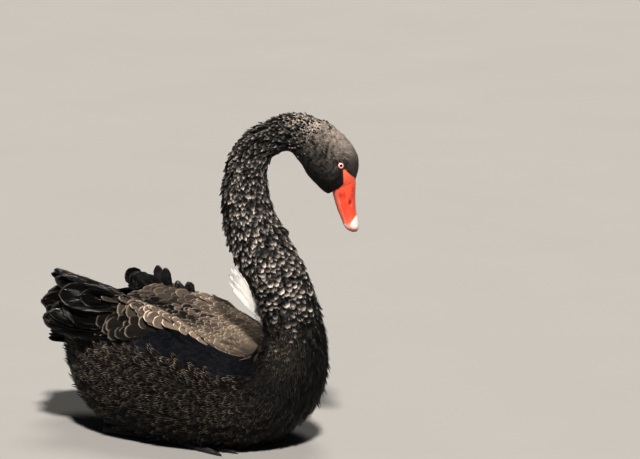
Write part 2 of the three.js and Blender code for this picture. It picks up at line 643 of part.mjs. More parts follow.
// The loose white feathers that stand up from the left wing's wrist, frayed into a fan at their tips.
const TUFT = {
  count: 6, root: vec(92, 61, 136), heading: vec(-0.6, -0.05, 0.8), length: 116, width: 9, coreShare: 0.62,
};
function wristTuft() {
  const random = drawer(3);
  const vanes = Array.from({ length: TUFT.count }, (_, i) => {
    const across = mix(-1, 1, i / (TUFT.count - 1));
    const heading = TUFT.heading.clone().add(vec(0.05 * across, 0.08 * across, 0.05 * across));
    return vane({
      root: TUFT.root.clone().add(vec(1.5 * across, 2.5 * across, 0)), heading,
      face: vec(0.8, 0.15 * across, 0.6).projectOnPlane(heading.clone().normalize()),
      length: TUFT.length * (1 + 0.08 * random()), width: TUFT.width, bend: 10 * across,
      cup: 0, steps: 3, thick: 2.2,
    });
  });
  const core = vane({
    root: TUFT.root, heading: TUFT.heading,
    face: vec(0.8, 0, 0.6).projectOnPlane(TUFT.heading.clone().normalize()),
    length: TUFT.length * TUFT.coreShare, width: 15, cup: 0.05, steps: 3, thick: 4.5,
  });
  return joined([core, ...vanes]);
}

const wings = new Map([LEFT, RIGHT].map((side) => [side, wing(side, GAP)]));
for (const [name, side] of [["left", LEFT], ["right", RIGHT]]) {
  add(`wing_${name}`, wing(side).subtract(torsoGrown), materials.plumage);
  add(`scapulars_${name}`, less(scapulars(side), [torsoGrown, wings.get(side)]), materials.mantle);
  const above = [torsoGrown, wings.get(side), scapulars(side, GAP)];
  add(`primaries_${name}`, less(primaries(side), above), materials.flight);
}
add("wing_tuft_left", less(wristTuft(), [torsoGrown, wings.get(LEFT)]), materials.flight);
add("tail", tail().subtract(torsoGrown), materials.plumage);

export default swan;
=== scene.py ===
"""The looks of a life-size still model of a black swan afloat, set down on its belly.

Metres, +Z up, +X the way the breast faces, +Y the bird's left. Sizes are written in millimetres and
scaled once, where a mesh is made. Sections follow the order in which the model is put together.
"""
import math

import bmesh
import bpy
import numpy as np
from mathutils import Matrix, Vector


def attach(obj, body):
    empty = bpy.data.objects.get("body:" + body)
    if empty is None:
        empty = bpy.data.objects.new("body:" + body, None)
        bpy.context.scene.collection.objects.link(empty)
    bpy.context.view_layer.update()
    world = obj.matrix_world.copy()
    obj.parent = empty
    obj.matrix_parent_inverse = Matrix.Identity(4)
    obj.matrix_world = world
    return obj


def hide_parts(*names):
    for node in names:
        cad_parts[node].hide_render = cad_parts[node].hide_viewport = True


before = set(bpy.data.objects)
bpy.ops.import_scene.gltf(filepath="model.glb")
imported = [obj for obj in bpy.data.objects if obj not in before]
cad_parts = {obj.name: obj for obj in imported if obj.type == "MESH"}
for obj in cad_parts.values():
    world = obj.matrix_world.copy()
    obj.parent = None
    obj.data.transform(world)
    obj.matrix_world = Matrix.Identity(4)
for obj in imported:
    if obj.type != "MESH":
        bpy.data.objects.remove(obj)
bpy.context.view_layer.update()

# Skin. In life the bird's own hide over flesh and bone; here one closed form, cast in one piece, from
# the stern over the breast and up the neck to the root of the bill. The feathers are set into it.
MM = 0.001
NECK_AXIS_X = 150.0
STATION_FIELDS = ("back_x", "back_z", "belly_x", "belly_z", "wide", "at", "crown", "keel", "turn")
BODY_STATIONS = {
    # upper end x, z, lower end x, z, half width, widest level, squareness above and below, turn
    "stern": (-205, 148, -212, 120, 20, 0.5, 2, 2, 0),
    "vent": (-195, 160, -207, 96, 46, 0.5, 2, 2, 0),
    "rump": (-168, 172, -190, 58, 76, 0.52, 2.3, 2.1, 0),
    "hips": (-130, 184, -150, 18, 102, 0.5, 2.8, 2.3, 0),
    "loins": (-85, 190, -96, -3, 117, 0.48, 3, 2.5, 0),
    "belly": (-32, 181, -36, -5, 124, 0.49, 3, 2.6, 0),
    "ribs": (20, 166, 24, -5, 123, 0.52, 3, 2.6, 0),
    "keel": (62, 152, 78, -3, 115, 0.55, 2.8, 2.5, 0),
    "shoulders": (92, 140, 122, 6, 103, 0.55, 2.5, 2.3, 0),
    "breast": (108, 136, 160, 30, 89, 0.54, 2.2, 2.1, 0),
    "breast front": (115, 139, 188, 62, 76, 0.52, 2, 2, 0),
    "crop": (118, 149, 205, 104, 64, 0.5, 2, 2, 2),
    "neck root": (119, 163, 209, 146, 55, 0.5, 2, 2, 4),
    "neck foot": (116, 184, 202, 192, 48, 0.5, 2, 2, 8),
    "low neck": (107, 211, 188, 232, 44, 0.5, 2, 2, 12),
    "bend": (93, 236, 173, 266, 43, 0.5, 2, 2, 16),
    "lean": (76, 264, 155, 298, 41.5, 0.5, 2, 2, 19),
    "back bend": (63, 301, 138, 328, 39, 0.5, 2, 2, 21),
    "mid neck": (58, 340, 128, 355, 36, 0.5, 2, 2, 22),
    "high neck": (59, 378, 124, 378, 33, 0.5, 2, 2, 22),
    "turn": (66, 409, 124, 395, 30, 0.5, 2, 2, 22),
    "rise": (83, 437, 129, 407, 27, 0.5, 2, 2, 22),
    "hook": (108, 458, 137, 416, 26, 0.5, 2, 2, 22),
    "arch": (157, 477, 156, 420, 27, 0.5, 2, 2, 22),
    "nape": (204, 467, 171, 405, 31, 0.5, 2, 2, 22),
    "crown": (226, 452, 181, 390, 33, 0.52, 2, 2, 22),
    "brow": (241, 436, 192, 378.5, 32, 0.53, 2, 2, 22),
    "eyes": (249.5, 420, 202, 369.5, 28.5, 0.53, 2, 2, 22),
    "face": (251, 404, 209, 366.5, 23, 0.53, 2, 2, 22),
    "bill root": (247.5, 387, 214.5, 368.5, 17, 0.5, 2, 2, 22),
}
STATION = {name: number for number, name in enumerate(BODY_STATIONS)}
LAST_STATION = len(BODY_STATIONS) - 1
SKIN_DEPTH = {"stern": 6, "neck root": 6, "bend": 4.5, "arch": 3.5, "crown": 1.4, "bill root": 0.8}
LOWEST = 0.4
LEFT, RIGHT = 1, -1
SIDES = {"left": LEFT, "right": RIGHT}


def unit(vectors):
    """Vectors of length one, row by row."""
    return vectors / np.maximum(np.linalg.norm(vectors, axis=-1, keepdims=True), 1e-9)


def ramp(value, start, over):
    """0 up to start, 1 from over past it, and a straight climb between."""
    return np.clip((value - start) / over, 0, 1)


def smooth_line(values, s):
    """A value of a station line at station numbers s, on a smooth curve through the stations."""
    values = np.asarray(values, float)
    last = len(values) - 1
    ends = [2 * values[0] - values[1]], [2 * values[last] - values[last - 1]]
    padded = np.concatenate([ends[0], values, ends[1]])
    i = np.clip(np.floor(s).astype(int), 0, last - 1)
    a, b, c, d = (padded[i + k] for k in range(4))
    t = s - i
    bend, turn = 2 * a - 5 * b + 4 * c - d, 3 * b - a - 3 * c + d
    return 0.5 * (2 * b + (c - a) * t + bend * t * t + turn * t**3)


def surface_of(stations):
    """The surface through stations: at numbers s and angles round the cut (0 at the back, a quarter
    turn at the bird's left), so many millimetres out from it."""
    lines = dict(zip(STATION_FIELDS, zip(*stations.values())))

    def surface(s, angle, out=0.0):
        s, angle = np.broadcast_arrays(np.asarray(s, float), np.asarray(angle, float))
        v = {key: smooth_line(values, s) for key, values in lines.items()}
        rise = np.stack([v["back_x"] - v["belly_x"], v["back_z"] - v["belly_z"]], -1)
        height = np.linalg.norm(rise, axis=-1)
        up = rise / height[..., None]
        level = v["at"] * height
        cos, sin = np.cos(angle), np.sin(angle)
        power = 2 / np.where(cos >= 0, v["crown"], v["keel"])
        reach = np.where(cos >= 0, height - level + out, level + out)
        along = level + np.sign(cos) * reach * np.abs(cos) ** power
        left = (v["wide"] + out) * np.sign(sin) * np.abs(sin) ** power
        forward = v["belly_x"] + up[..., 0] * along - NECK_AXIS_X
        turn = np.radians(v["turn"])
        x = NECK_AXIS_X + forward * np.cos(turn) - left * np.sin(turn)
        y = forward * np.sin(turn) + left * np.cos(turn)
        return np.stack([x, y, v["belly_z"] + up[..., 1] * along], -1)

    return surface


body = surface_of(BODY_STATIONS)


def body_depth(s):
    """How far the skin lies under the outline of the feathers."""
    return np.interp(s, [STATION[name] for name in SKIN_DEPTH], list(SKIN_DEPTH.values()))


NEAR = 0.01


def facing(surface, u, v, out=0.0):
    """The outward direction of a surface, and the direction in which u grows, at its places (u, v)."""
    ahead = surface(u + NEAR, v, out) - surface(u - NEAR, v, out)
    round_it = surface(u, v + NEAR, out) - surface(u, v - NEAR, out)
    normal = unit(np.cross(ahead, round_it))
    outside = surface(u, v, out + 1.0) - surface(u, v, out)
    flip = np.sum(normal * outside, axis=-1, keepdims=True) < 0
    return np.where(flip, -normal, normal), unit(ahead)


def mesh_piece(name, points, faces, uvs=None, values=None):
    """A smooth object from points in millimetres, with named UV maps and values given by point."""
    mesh = bpy.data.meshes.new(name)
    points = np.asarray(points, float)
    mesh.from_pydata((points * MM).tolist(), [], faces)
    corners = np.zeros(len(mesh.loops), int)
    mesh.loops.foreach_get("vertex_index", corners)
    for key, uv in (uvs or {}).items():
        layer = mesh.uv_layers.new(name=key)
        layer.data.foreach_set("uv", np.asarray(uv, np.float32)[corners].ravel())
    for key, value in (values or {}).items():
        layer = mesh.attributes.new(key, "FLOAT", "POINT")
        layer.data.foreach_set("value", np.asarray(value, np.float32))
    mesh.polygons.foreach_set("use_smooth", [True] * len(mesh.polygons))
    mesh.update()
    made = bpy.data.objects.new(name, mesh)
    bpy.context.scene.collection.objects.link(made)
    return made


def tube_faces(rings, around):
    """Faces between rings of points, with each end closed by one face."""
    faces = []
    for i in range(rings - 1):
        for k in range(around):
            a, b = i * around + k, i * around + (k + 1) % around
            faces.append((a, b, b + around, a + around))
    last = (rings - 1) * around
    faces.append(tuple(reversed(range(around))))
    faces.append(tuple(range(last, last + around)))
    return faces


def facing_out(made):
    """The same object with all its faces turned outwards."""
    mesh = made.data
    work = bmesh.new()
    work.from_mesh(mesh)
    bmesh.ops.recalc_face_normals(work, faces=work.faces)
    work.to_mesh(mesh)
    work.free()
    return made


def node(tree, kind, inputs=None, **settings):
    """A node of a tree with its settings, its input values, and links where an input is a socket."""
    made = tree.nodes.new(kind)
    for key, value in settings.items():
        setattr(made, key, value)
    for key, value in (inputs or {}).items():
        if isinstance(value, bpy.types.NodeSocket):
            tree.links.new(value, made.inputs[key])
        else:
            made.inputs[key].default_value = value
    return made


def sum_of(tree, operation, *terms):
    """The result of one sum on sockets and numbers."""
    return node(tree, "ShaderNodeMath", dict(enumerate(terms)), operation=operation).outputs[0]


def between(tree, factor, first, second):
    """A colour that goes from first to second."""
    inputs = {0: factor, 6: first, 7: second}
    return node(tree, "ShaderNodeMix", inputs, data_type="RGBA").outputs[2]


def colour(red, green, blue):
    return (red, green, blue, 1.0)


def new_material(name, **shader_values):
    """A material with its tree and its shader, whose own sockets take the values given."""
    material = bpy.data.materials.new(name)
    material.use_nodes = True
    tree = material.node_tree
    tree.nodes.clear()
    shader = node(tree, "ShaderNodeBsdfPrincipled")
    for key, value in shader_values.items():
        shader.inputs[key.replace("_", " ")].default_value = value
    out = node(tree, "ShaderNodeOutputMaterial")
    tree.links.new(shader.outputs[0], out.inputs["Surface"])
    return material, tree, shader


NOISE_ROUGHNESS = 0.55


def noise(tree, scale, detail=3.0):
    """Cloudy noise over the piece, its scale in cycles per metre."""
    where = node(tree, "ShaderNodeTexCoord").outputs["Object"]
    inputs = {"Vector": where, "Scale": scale, "Detail": detail, "Roughness": NOISE_ROUGHNESS}
    return node(tree, "ShaderNodeTexNoise", inputs).outputs["Fac"]


def bump(tree, height, distance):
    """A bump of so many metres for a height from 0 to 1."""
    inputs = {"Height": height, "Distance": distance, "Strength": 1.0}
    return node(tree, "ShaderNodeBump", inputs).outputs["Normal"]


EYE = {"station": STATION["eyes"] - 0.4, "angle": math.radians(69), "radius": 7.5, "proud": 1.3}
EYE_OPENING = 4.3
SOCKET = {"deep": 3.0, "inside": 0.6, "slope": 1.6, "reach": 14}
BROW = {"out": 1.3, "above": 8.0, "wide": 6.0, "high": 4.0}


def eye_place(side):
    """Where an eye looks out of the head: its place on the skin, its outward, forward and up lines."""
    s, angle = np.array([EYE["station"]]), np.array([side * EYE["angle"]])
    at = body(s, angle)[0]
    out, ahead = (found[0] for found in facing(body, s, angle))
    ahead = unit(ahead - out * np.dot(ahead, out))
    up = np.cross(out, ahead)
    return at, out, ahead, up * np.sign(up[2])


# The bare skin between the eye and the bill, seen from the side: its edge, from the eye down the rear
# to the corner of the mouth, and back up the front, in the plane of the turned head.
LORE_REAR = ((234.6, 404.5), (234.6, 392.0), (234.0, 383.0), (226.0, 376.0), (213.5, 368.0))
LORE_FRONT = ((237.4, 404.5), (245.6, 393.0), (250.0, 385.0))
LORE_SOFT = 0.8
LORE_WITHIN = {"off the middle": 4, "from x": 205}
HEAD_TURN = math.radians(22)


def head_plane(points):
    """x and z of points in the plane of the turned head, and how far left of it they are."""
    forward, left = points[..., 0] - NECK_AXIS_X, points[..., 1]
    x = NECK_AXIS_X + forward * math.cos(HEAD_TURN) + left * math.sin(HEAD_TURN)
    return x, points[..., 2], left * math.cos(HEAD_TURN) - forward * math.sin(HEAD_TURN)


def bareness(points):
    """1 on the bare skin before the eye, 0 under feathers, with a soft edge between."""
    x, z, left = head_plane(points)
    rear_z = [p[1] for p in LORE_REAR][::-1]
    rear = np.interp(z, rear_z, [p[0] for p in LORE_REAR][::-1])
    front_z = [p[1] for p in LORE_FRONT][::-1]
    front = np.interp(z, front_z, [p[0] for p in LORE_FRONT][::-1])
    front = np.where(z < front_z[0], np.inf, front)
    inside = np.minimum(x - rear, front - x)
    inside = np.minimum(inside, LORE_REAR[0][1] - z)
    bare = np.clip(inside / LORE_SOFT + 0.5, 0, 1)
    within = (np.abs(left) > LORE_WITHIN["off the middle"]) & (x > LORE_WITHIN["from x"])
    return bare * within * (z < LORE_REAR[0][1])


def shape_head(points):
    """The skin's points with the eyes' sockets let in and the brows raised over them."""
    points = points.copy()
    for side in SIDES.values():
        at, out, ahead, up = eye_place(side)
        off = points - at
        along, rise, depth = off @ ahead, off @ up, off @ out
        near = np.abs(depth) < SOCKET["reach"]
        radius = np.hypot(along, rise)
        socket = near * (1 - ramp(radius - EYE_OPENING, -SOCKET["inside"], SOCKET["slope"]))
        off_brow = (along / BROW["wide"]) ** 2 + ((rise - BROW["above"]) / BROW["high"]) ** 2
        points += out * (BROW["out"] * near * np.exp(-off_brow) - SOCKET["deep"] * socket)[:, None]
    return points


SKIN_STEPS = (
    # from station, to station, stations between two rings of points: closer on the head
    (0, STATION["arch"], 0.09),
    (STATION["arch"], LAST_STATION, 0.025),
)
SKIN_AROUND = 108
s_rings = np.concatenate([np.arange(*ends_and_gap) for ends_and_gap in SKIN_STEPS] + [[LAST_STATION]])
angles = np.linspace(0, 2 * math.pi, SKIN_AROUND, endpoint=False)
s_grid, angle_grid = np.meshgrid(s_rings, angles, indexing="ij")
skin_points = body(s_grid, angle_grid, -body_depth(s_grid)).reshape(-1, 3)
skin_points = shape_head(skin_points)
skin_points[:, 2] = np.maximum(skin_points[:, 2], LOWEST)
skin_faces = tube_faces(len(s_rings), SKIN_AROUND)
bare = bareness(skin_points) * (s_grid.ravel() > STATION["crown"])
skin_uv = np.stack([s_grid / LAST_STATION, angle_grid / (2 * math.pi)], -1).reshape(-1, 2)
skin = facing_out(mesh_piece("skin", skin_points, skin_faces, {"OFBake": skin_uv}, {"bare": bare}))

PLUMAGE_BLACK = colour(0.011, 0.0095, 0.0085)
PLUMAGE_BROWN = colour(0.021, 0.017, 0.0135)
BARE_RED = colour(0.64, 0.120, 0.070)
BARE_ORANGE = colour(0.70, 0.22, 0.13)
SKIN_ROUGHNESS = {"feathered": 0.62, "bare less": 0.26}
SKIN_GRAIN = {"height": 0.0006, "bare less": 0.8}
material, tree, shader = new_material(
    "skin", Roughness=SKIN_ROUGHNESS["feathered"], Specular_IOR_Level=0.35
)
cloud = noise(tree, 60.0)
fine = noise(tree, 1500.0, 2.0)
is_bare = node(tree, "ShaderNodeAttribute", attribute_name="bare").outputs["Fac"]
dark = between(tree, cloud, PLUMAGE_BLACK, PLUMAGE_BROWN)
flush = between(tree, sum_of(tree, "MULTIPLY", cloud, 0.35), BARE_RED, BARE_ORANGE)
tree.links.new(between(tree, is_bare, dark, flush), shader.inputs["Base Color"])
smoother = sum_of(tree, "MULTIPLY", is_bare, SKIN_GRAIN["bare less"])
grain = sum_of(tree, "MULTIPLY", fine, sum_of(tree, "SUBTRACT", 1.0, smoother))
tree.links.new(bump(tree, grain, SKIN_GRAIN["height"]), shader.inputs["Normal"])
rough = sum_of(tree, "MULTIPLY_ADD", is_bare, -SKIN_ROUGHNESS["bare less"], SKIN_ROUGHNESS["feathered"])
tree.links.new(rough, shader.inputs["Roughness"])
skin.data.materials.append(material)
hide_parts("torso", "neck_lower", "neck_middle", "neck_upper", "head")
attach(skin, "root")

# Eyes. Wet balls with a black pupil and a pale pink iris, pushed into the sockets of the skin so that
# less than half of each stands out, and held by a thin dark red rim of eyelid.
EYE_RINGS = {"pupil": 0.17, "pupil soft": 0.03, "iris": 0.40, "iris soft": 0.08}
EYE_STEPS, EYE_AROUND, EYE_POLE = 40, 40, 0.02
LID = {"thick": 0.8, "long": 1.10, "high": 0.92, "sunk": 0.1}
LID_AROUND, LID_SIDES = 48, 10


def disc_frame(at, out, ahead, up, along, rise, depth):
    """Points given by how far ahead of, above and outside a place they are."""
    return at + along[..., None] * ahead + rise[..., None] * up + depth[..., None] * out


def eye_ball(name, side):
    """A ball whose value 'off' is the angle from the middle of the pupil, in quarter turns, and whose
    value 'round' goes up and down once round it."""
    at, out, ahead, up = eye_place(side)
    centre = at + out * (EYE["proud"] - EYE["radius"])
    polar = np.linspace(EYE_POLE, math.pi - EYE_POLE, EYE_STEPS)
    turn = np.linspace(0, 2 * math.pi, EYE_AROUND, endpoint=False)
    p, q = np.meshgrid(polar, turn, indexing="ij")
    ring = EYE["radius"] * np.sin(p)
    points = disc_frame(centre, out, ahead, up, ring * np.cos(q), ring * np.sin(q), EYE["radius"] * np.cos(p))
    values = {"off": (p / (math.pi / 2)).ravel(), "round": np.abs(q / math.pi - 1).ravel()}
    made = mesh_piece(name, points.reshape(-1, 3), tube_faces(len(polar), EYE_AROUND), None, values)
    return facing_out(made)


def lid_ring(name, side):
    """The rim of the eyelids, a thin ring laid round the opening."""
    at, out, ahead, up = eye_place(side)
    turn = np.linspace(0, 2 * math.pi, LID_AROUND, endpoint=False)
    tube = np.linspace(0, 2 * math.pi, LID_SIDES, endpoint=False)
    q, r = np.meshgrid(turn, tube, indexing="ij")
    reach = EYE_OPENING + LID["thick"] * np.cos(r)
    along, rise = LID["long"] * reach * np.cos(q), LID["high"] * reach * np.sin(q)
    points = disc_frame(at, out, ahead, up, along, rise, LID["thick"] * np.sin(r) - LID["sunk"])
    faces = []
    for i in range(LID_AROUND):
        here, after = i * LID_SIDES, (i + 1) % LID_AROUND * LID_SIDES
        for k in range(LID_SIDES):
            m = (k + 1) % LID_SIDES
            faces.append((here + k, here + m, after + m, after + k))
    return facing_out(mesh_piece(name, points.reshape(-1, 3), faces))


def step_from(tree, value, low, high):
    """A smooth step of a value from 0 at low to 1 at high."""
    inputs = {"Value": value, "From Min": low, "From Max": high}
    made = node(tree, "ShaderNodeMapRange", inputs, interpolation_type="SMOOTHSTEP")
    return made.outputs["Result"]


PUPIL_BLACK = colour(0.004, 0.003, 0.003)
IRIS_PINK = colour(0.36, 0.15, 0.145)
IRIS_PALE = colour(0.66, 0.49, 0.47)
IRIS_STREAKS = {"count": 160.0, "depth": 0.12}
EYE_RIM = colour(0.03, 0.008, 0.006)
LID_DARK = colour(0.030, 0.007, 0.007)
LID_RED = colour(0.110, 0.028, 0.027)
material, tree, shader = new_material(
    "eye", Roughness=0.08, Specular_IOR_Level=0.6, Coat_Weight=1.0, Coat_Roughness=0.03
)
off = node(tree, "ShaderNodeAttribute", attribute_name="off").outputs["Fac"]
around_iris = node(tree, "ShaderNodeAttribute", attribute_name="round").outputs["Fac"]
spokes = sum_of(tree, "SINE", sum_of(tree, "MULTIPLY", around_iris, IRIS_STREAKS["count"]))
streaks = sum_of(tree, "MULTIPLY_ADD", spokes, IRIS_STREAKS["depth"], 0.5)
iris = between(tree, streaks, IRIS_PINK, IRIS_PALE)
pupil_edge = (EYE_RINGS["pupil"] - EYE_RINGS["pupil soft"], EYE_RINGS["pupil"] + EYE_RINGS["pupil soft"])
inner = between(tree, step_from(tree, off, *pupil_edge), PUPIL_BLACK, iris)
rim = step_from(tree, off, EYE_RINGS["iris"], EYE_RINGS["iris"] + EYE_RINGS["iris soft"])
tree.links.new(between(tree, rim, inner, EYE_RIM), shader.inputs["Base Color"])
lid_material, tree, shader = new_material("eyelid", Roughness=0.4)
mottle = noise(tree, 900.0)
tree.links.new(between(tree, mottle, LID_DARK, LID_RED), shader.inputs["Base Color"])
tree.links.new(bump(tree, mottle, 0.0003), shader.inputs["Normal"])
for side_name, side in SIDES.items():
    ball = eye_ball(f"eye_{side_name}_ball", side)
    ball.data.materials.append(material)
    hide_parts(f"eye_{side_name}")
    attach(ball, "root")
    lids = lid_ring(f"eyelids_{side_name}", side)
    lids.data.materials.append(lid_material)
    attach(lids, "root")

# Bill. Red horn over bone: the upper half with a nostril let into each side, the narrower lower half
# closing inside it, and a hard pale nail at the tip. Pushed on to the front of the skull.
BILL_STATIONS = {
    "root": (247.2, 386.4, 214.8, 368, 16.5, 0.4, 2, 2.4, 22),
    "nostril": (246.6, 362, 221.5, 346, 14, 0.38, 2.1, 2.6, 22),
    "blade": (247.6, 342, 227.5, 332, 13, 0.36, 2.3, 2.6, 22),
    "spoon": (250.2, 330, 231, 323.5, 13, 0.36, 2.4, 2.6, 22),
    "rim": (251.6, 320.5, 235.4, 317, 10.5, 0.4, 2.2, 2.4, 22),
    "tip": (249.4, 314, 240.5, 313.6, 4.5, 0.5, 2, 2, 22),
}
bill = surface_of(BILL_STATIONS)
BILL_LAST = len(BILL_STATIONS) - 1
BILL_INSIDE_HEAD = -0.22
MOUTH_LEVEL = 0.24
MOUTH_GAP = 0.35
MOUTH_TRIES = 181
NOSTRIL = {
    "station": 1.15, "angle": math.radians(48), "long": 4.8, "wide": 3.0, "deep": 1.6, "steep": 1.2,
    "rim": 0.35, "rim at": 1.55, "rim soft": 0.12,
}
NAIL = {"station": BILL_LAST - 1.7, "long": 10.0, "wide": 12.2, "proud": 0.4, "tuck": 0.25}
NAIL_EDGE = {"domed to": 1.05, "tucked from": 1.02, "ends": 1.12}
NAIL_BED = 1.25
BILL_EDGE = {"from": 0.86, "wide": 0.14}
BILL_RIDGE = 0.22
BILL_AROUND = 72
BILL_RINGS = 110


def hump(value, middle, wide):
    """A bell, 1 at its middle and falling to nothing about two widths away."""
    return np.exp(-(((value - middle) / wide) ** 2))


def mouth_angle(s, above):
    """The angle at which the bill's surface at station s is so far above the line of the mouth."""
    chin, culmen = bill(s, math.pi), bill(s, 0.0)
    mouth = chin + MOUTH_LEVEL * (culmen - chin)
    up = unit(culmen - chin)
    tries = np.linspace(math.pi / 2, math.pi, MOUTH_TRIES)
    heights = (bill(np.full(tries.shape, s), tries) - mouth) @ up
    return float(np.interp(-above, -heights, tries))


def bill_grid(upper, inset=0.0):
    """Rings of points on the upper or the lower half, from inside the head to the tip."""
    s = np.linspace(BILL_INSIDE_HEAD, BILL_LAST - 0.01, BILL_RINGS)
    rows, round_bill = [], []
    for at in s:
        edge = mouth_angle(max(at, 0.0), MOUTH_GAP / 2 if upper else -MOUTH_GAP / 2)
        ends = (-edge, edge) if upper else (edge, 2 * math.pi - edge)
        turn = np.linspace(*ends, BILL_AROUND)
        rows.append(bill(np.full(BILL_AROUND, at), turn, -inset))
        round_bill.append(turn)
    return s, np.array(rows), np.array(round_bill)


def oval_share(points, oval, angle):
    """How far points are from the middle of an oval laid along the bill, in its half lengths, and the
    outward direction there."""
    s, turn = np.array([oval["station"]]), np.array([angle])
    at = bill(s, turn)[0]
    out, ahead = (found[0] for found in facing(bill, s, turn))
    across = np.cross(out, ahead)
    off = points - at
    return np.hypot(off @ ahead / oval["long"], off @ across / oval["wide"]), out


s, rows, turn = bill_grid(True)
points = rows.reshape(-1, 3)
dent = np.zeros(len(points))
for side in SIDES.values():
    share, out = oval_share(points, NOSTRIL, side * NOSTRIL["angle"])
    hollow = np.exp(-(share**3) * NOSTRIL["steep"])
    points = points - out * (NOSTRIL["deep"] * hollow)[:, None]
    off_rim = (share - NOSTRIL["rim at"]) ** 2
    rim_height = np.exp(-off_rim / NOSTRIL["rim soft"]) * NOSTRIL["rim"]
    points = points + out * rim_height[:, None]
    dent = np.maximum(dent, hollow)
nail_share = oval_share(points, NAIL, 0.0)[0]
to_edge = np.abs(turn) / np.abs(turn).max(axis=1, keepdims=True)
upper_values = {
    "dent": dent, "edge": ramp(to_edge, BILL_EDGE["from"], BILL_EDGE["wide"]).ravel(),
    "along": np.repeat(s / BILL_LAST, BILL_AROUND), "ridge": hump(turn, 0, BILL_RIDGE).ravel(),
    "nail": np.clip(NAIL_BED - nail_share, 0, 1),
}
bill_faces = tube_faces(BILL_RINGS, BILL_AROUND)
upper = facing_out(mesh_piece("bill_upper_horn", points, bill_faces, None, upper_values))
LOWER_INSET = 0.4
s, rows, turn = bill_grid(False, LOWER_INSET)
lower_values = {"along": np.repeat(s / BILL_LAST, BILL_AROUND), "dent": np.zeros(len(s) * BILL_AROUND)}
lower = facing_out(mesh_piece("bill_lower_horn", rows.reshape(-1, 3), bill_faces, None, lower_values))

BILL_RED = colour(0.41, 0.058, 0.031)
BILL_ORANGE = colour(0.50, 0.10, 0.044)
BILL_SALMON = colour(0.54, 0.215, 0.168)
BILL_DEEP = colour(0.30, 0.022, 0.011)
LOWER_PINK = colour(0.54, 0.16, 0.11)
NAIL_BED_PINK = colour(0.56, 0.36, 0.31)
# Painted shade in the nostril hollows.
NOSTRIL_PAINTED_SHADE = colour(0.24, 0.016, 0.009)
# The ridge entry is a painted highlight along the culmen; the others are the horn's own tints.
BILL_TINTS_AND_SHEEN = {"cloud": 0.35, "root": 0.3, "blotch": 0.8, "tip": 0.6, "ridge": 0.40, "edge": 0.75}


def horn(name, base, has_edges):
    """The bill's horn, tinted by where it is, with a painted highlight along the ridge; only the upper half
    has a ridge, edges and a nail.
    """
    material, tree, shader = new_material(
        name, Roughness=0.34, Specular_IOR_Level=0.5, Coat_Weight=0.25, Coat_Roughness=0.25,
        Subsurface_Weight=0.12, Subsurface_Scale=0.003,
    )
    shader.inputs["Subsurface Radius"].default_value = (1.0, 0.35, 0.2)
    value = {
        key: node(tree, "ShaderNodeAttribute", attribute_name=key).outputs["Fac"]
        for key in ("dent", "edge", "along", "ridge", "nail")
    }
    cloud, grain = noise(tree, 90.0), noise(tree, 1400.0, 2.0)

    def tint_by(tint, kind, where, stain):
        return between(tree, sum_of(tree, "MULTIPLY", where, BILL_TINTS_AND_SHEEN[kind]), tint, stain)

    tint = tint_by(base, "cloud", cloud, BILL_ORANGE)
    if has_edges:
        near_root = sum_of(tree, "SUBTRACT", 1.0, step_from(tree, value["along"], 0.05, 0.45))
        tint = tint_by(tint, "root", near_root, BILL_ORANGE)
        blotch = sum_of(tree, "MULTIPLY", step_from(tree, noise(tree, 75.0, 2.0), 0.42, 0.62), near_root)
        tint = tint_by(tint, "blotch", blotch, BILL_DEEP)
        tint = tint_by(tint, "tip", step_from(tree, value["along"], 0.35, 0.85), BILL_SALMON)
        # A painted highlight along the culmen.
        tint = tint_by(tint, "ridge", value["ridge"], BILL_SALMON)
        tint = tint_by(tint, "edge", value["edge"], BILL_SALMON)
        tint = between(tree, step_from(tree, value["nail"], 0.10, 0.34), tint, NAIL_BED_PINK)
    # The nostril hollows are painted darker: painted shade in the recess.
    tint = between(tree, step_from(tree, value["dent"], 0.25, 0.95), tint, NOSTRIL_PAINTED_SHADE)
    tree.links.new(tint, shader.inputs["Base Color"])
    tree.links.new(bump(tree, grain, 0.00018), shader.inputs["Normal"])
    return material


upper.data.materials.append(horn("upper_horn", BILL_RED, True))
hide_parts("bill_upper")
lower.data.materials.append(horn("lower_horn", LOWER_PINK, False))
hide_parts("bill_lower")
for half in (upper, lower):
    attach(half, "root")

NAIL_SPAN = {"stations": (BILL_LAST - 2.9, BILL_LAST - 0.4, 44), "angles": (-2.0, 2.0, 60)}
s_nail, turn_nail = np.linspace(*NAIL_SPAN["stations"]), np.linspace(*NAIL_SPAN["angles"])
s_grid, turn_grid = np.meshgrid(s_nail, turn_nail, indexing="ij")
flat = bill(s_grid, turn_grid).reshape(-1, 3)
share = oval_share(flat, NAIL, 0.0)[0]
height = NAIL["proud"] * np.sqrt(np.clip(NAIL_EDGE["domed to"] - share**2, 0, 1))
height = height - NAIL["tuck"] * (share > NAIL_EDGE["tucked from"])
points = bill(s_grid, turn_grid, height.reshape(s_grid.shape)).reshape(-1, 3)
keep = share < NAIL_EDGE["ends"]
faces = []
for i in range(len(s_nail) - 1):
    for k in range(len(turn_nail) - 1):
        a = i * len(turn_nail) + k
        quad = (a, a + 1, a + 1 + len(turn_nail), a + len(turn_nail))
        if keep[list(quad)].all():
            faces.append(quad)
nail = mesh_piece("bill_nail_horn", points, faces)

NAIL_WHITE = colour(0.52, 0.490, 0.475)
NAIL_GREY = colour(0.40, 0.345, 0.345)
material, tree, shader = new_material("nail", Roughness=0.3, Coat_Weight=0.3, Coat_Roughness=0.2)
tint = between(tree, noise(tree, 260.0), NAIL_WHITE, NAIL_GREY)
tree.links.new(tint, shader.inputs["Base Color"])
tree.links.new(bump(tree, noise(tree, 1600.0), 0.00012), shader.inputs["Normal"])
nail.data.materials.append(material)
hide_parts("bill_nail")
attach(nail, "root")

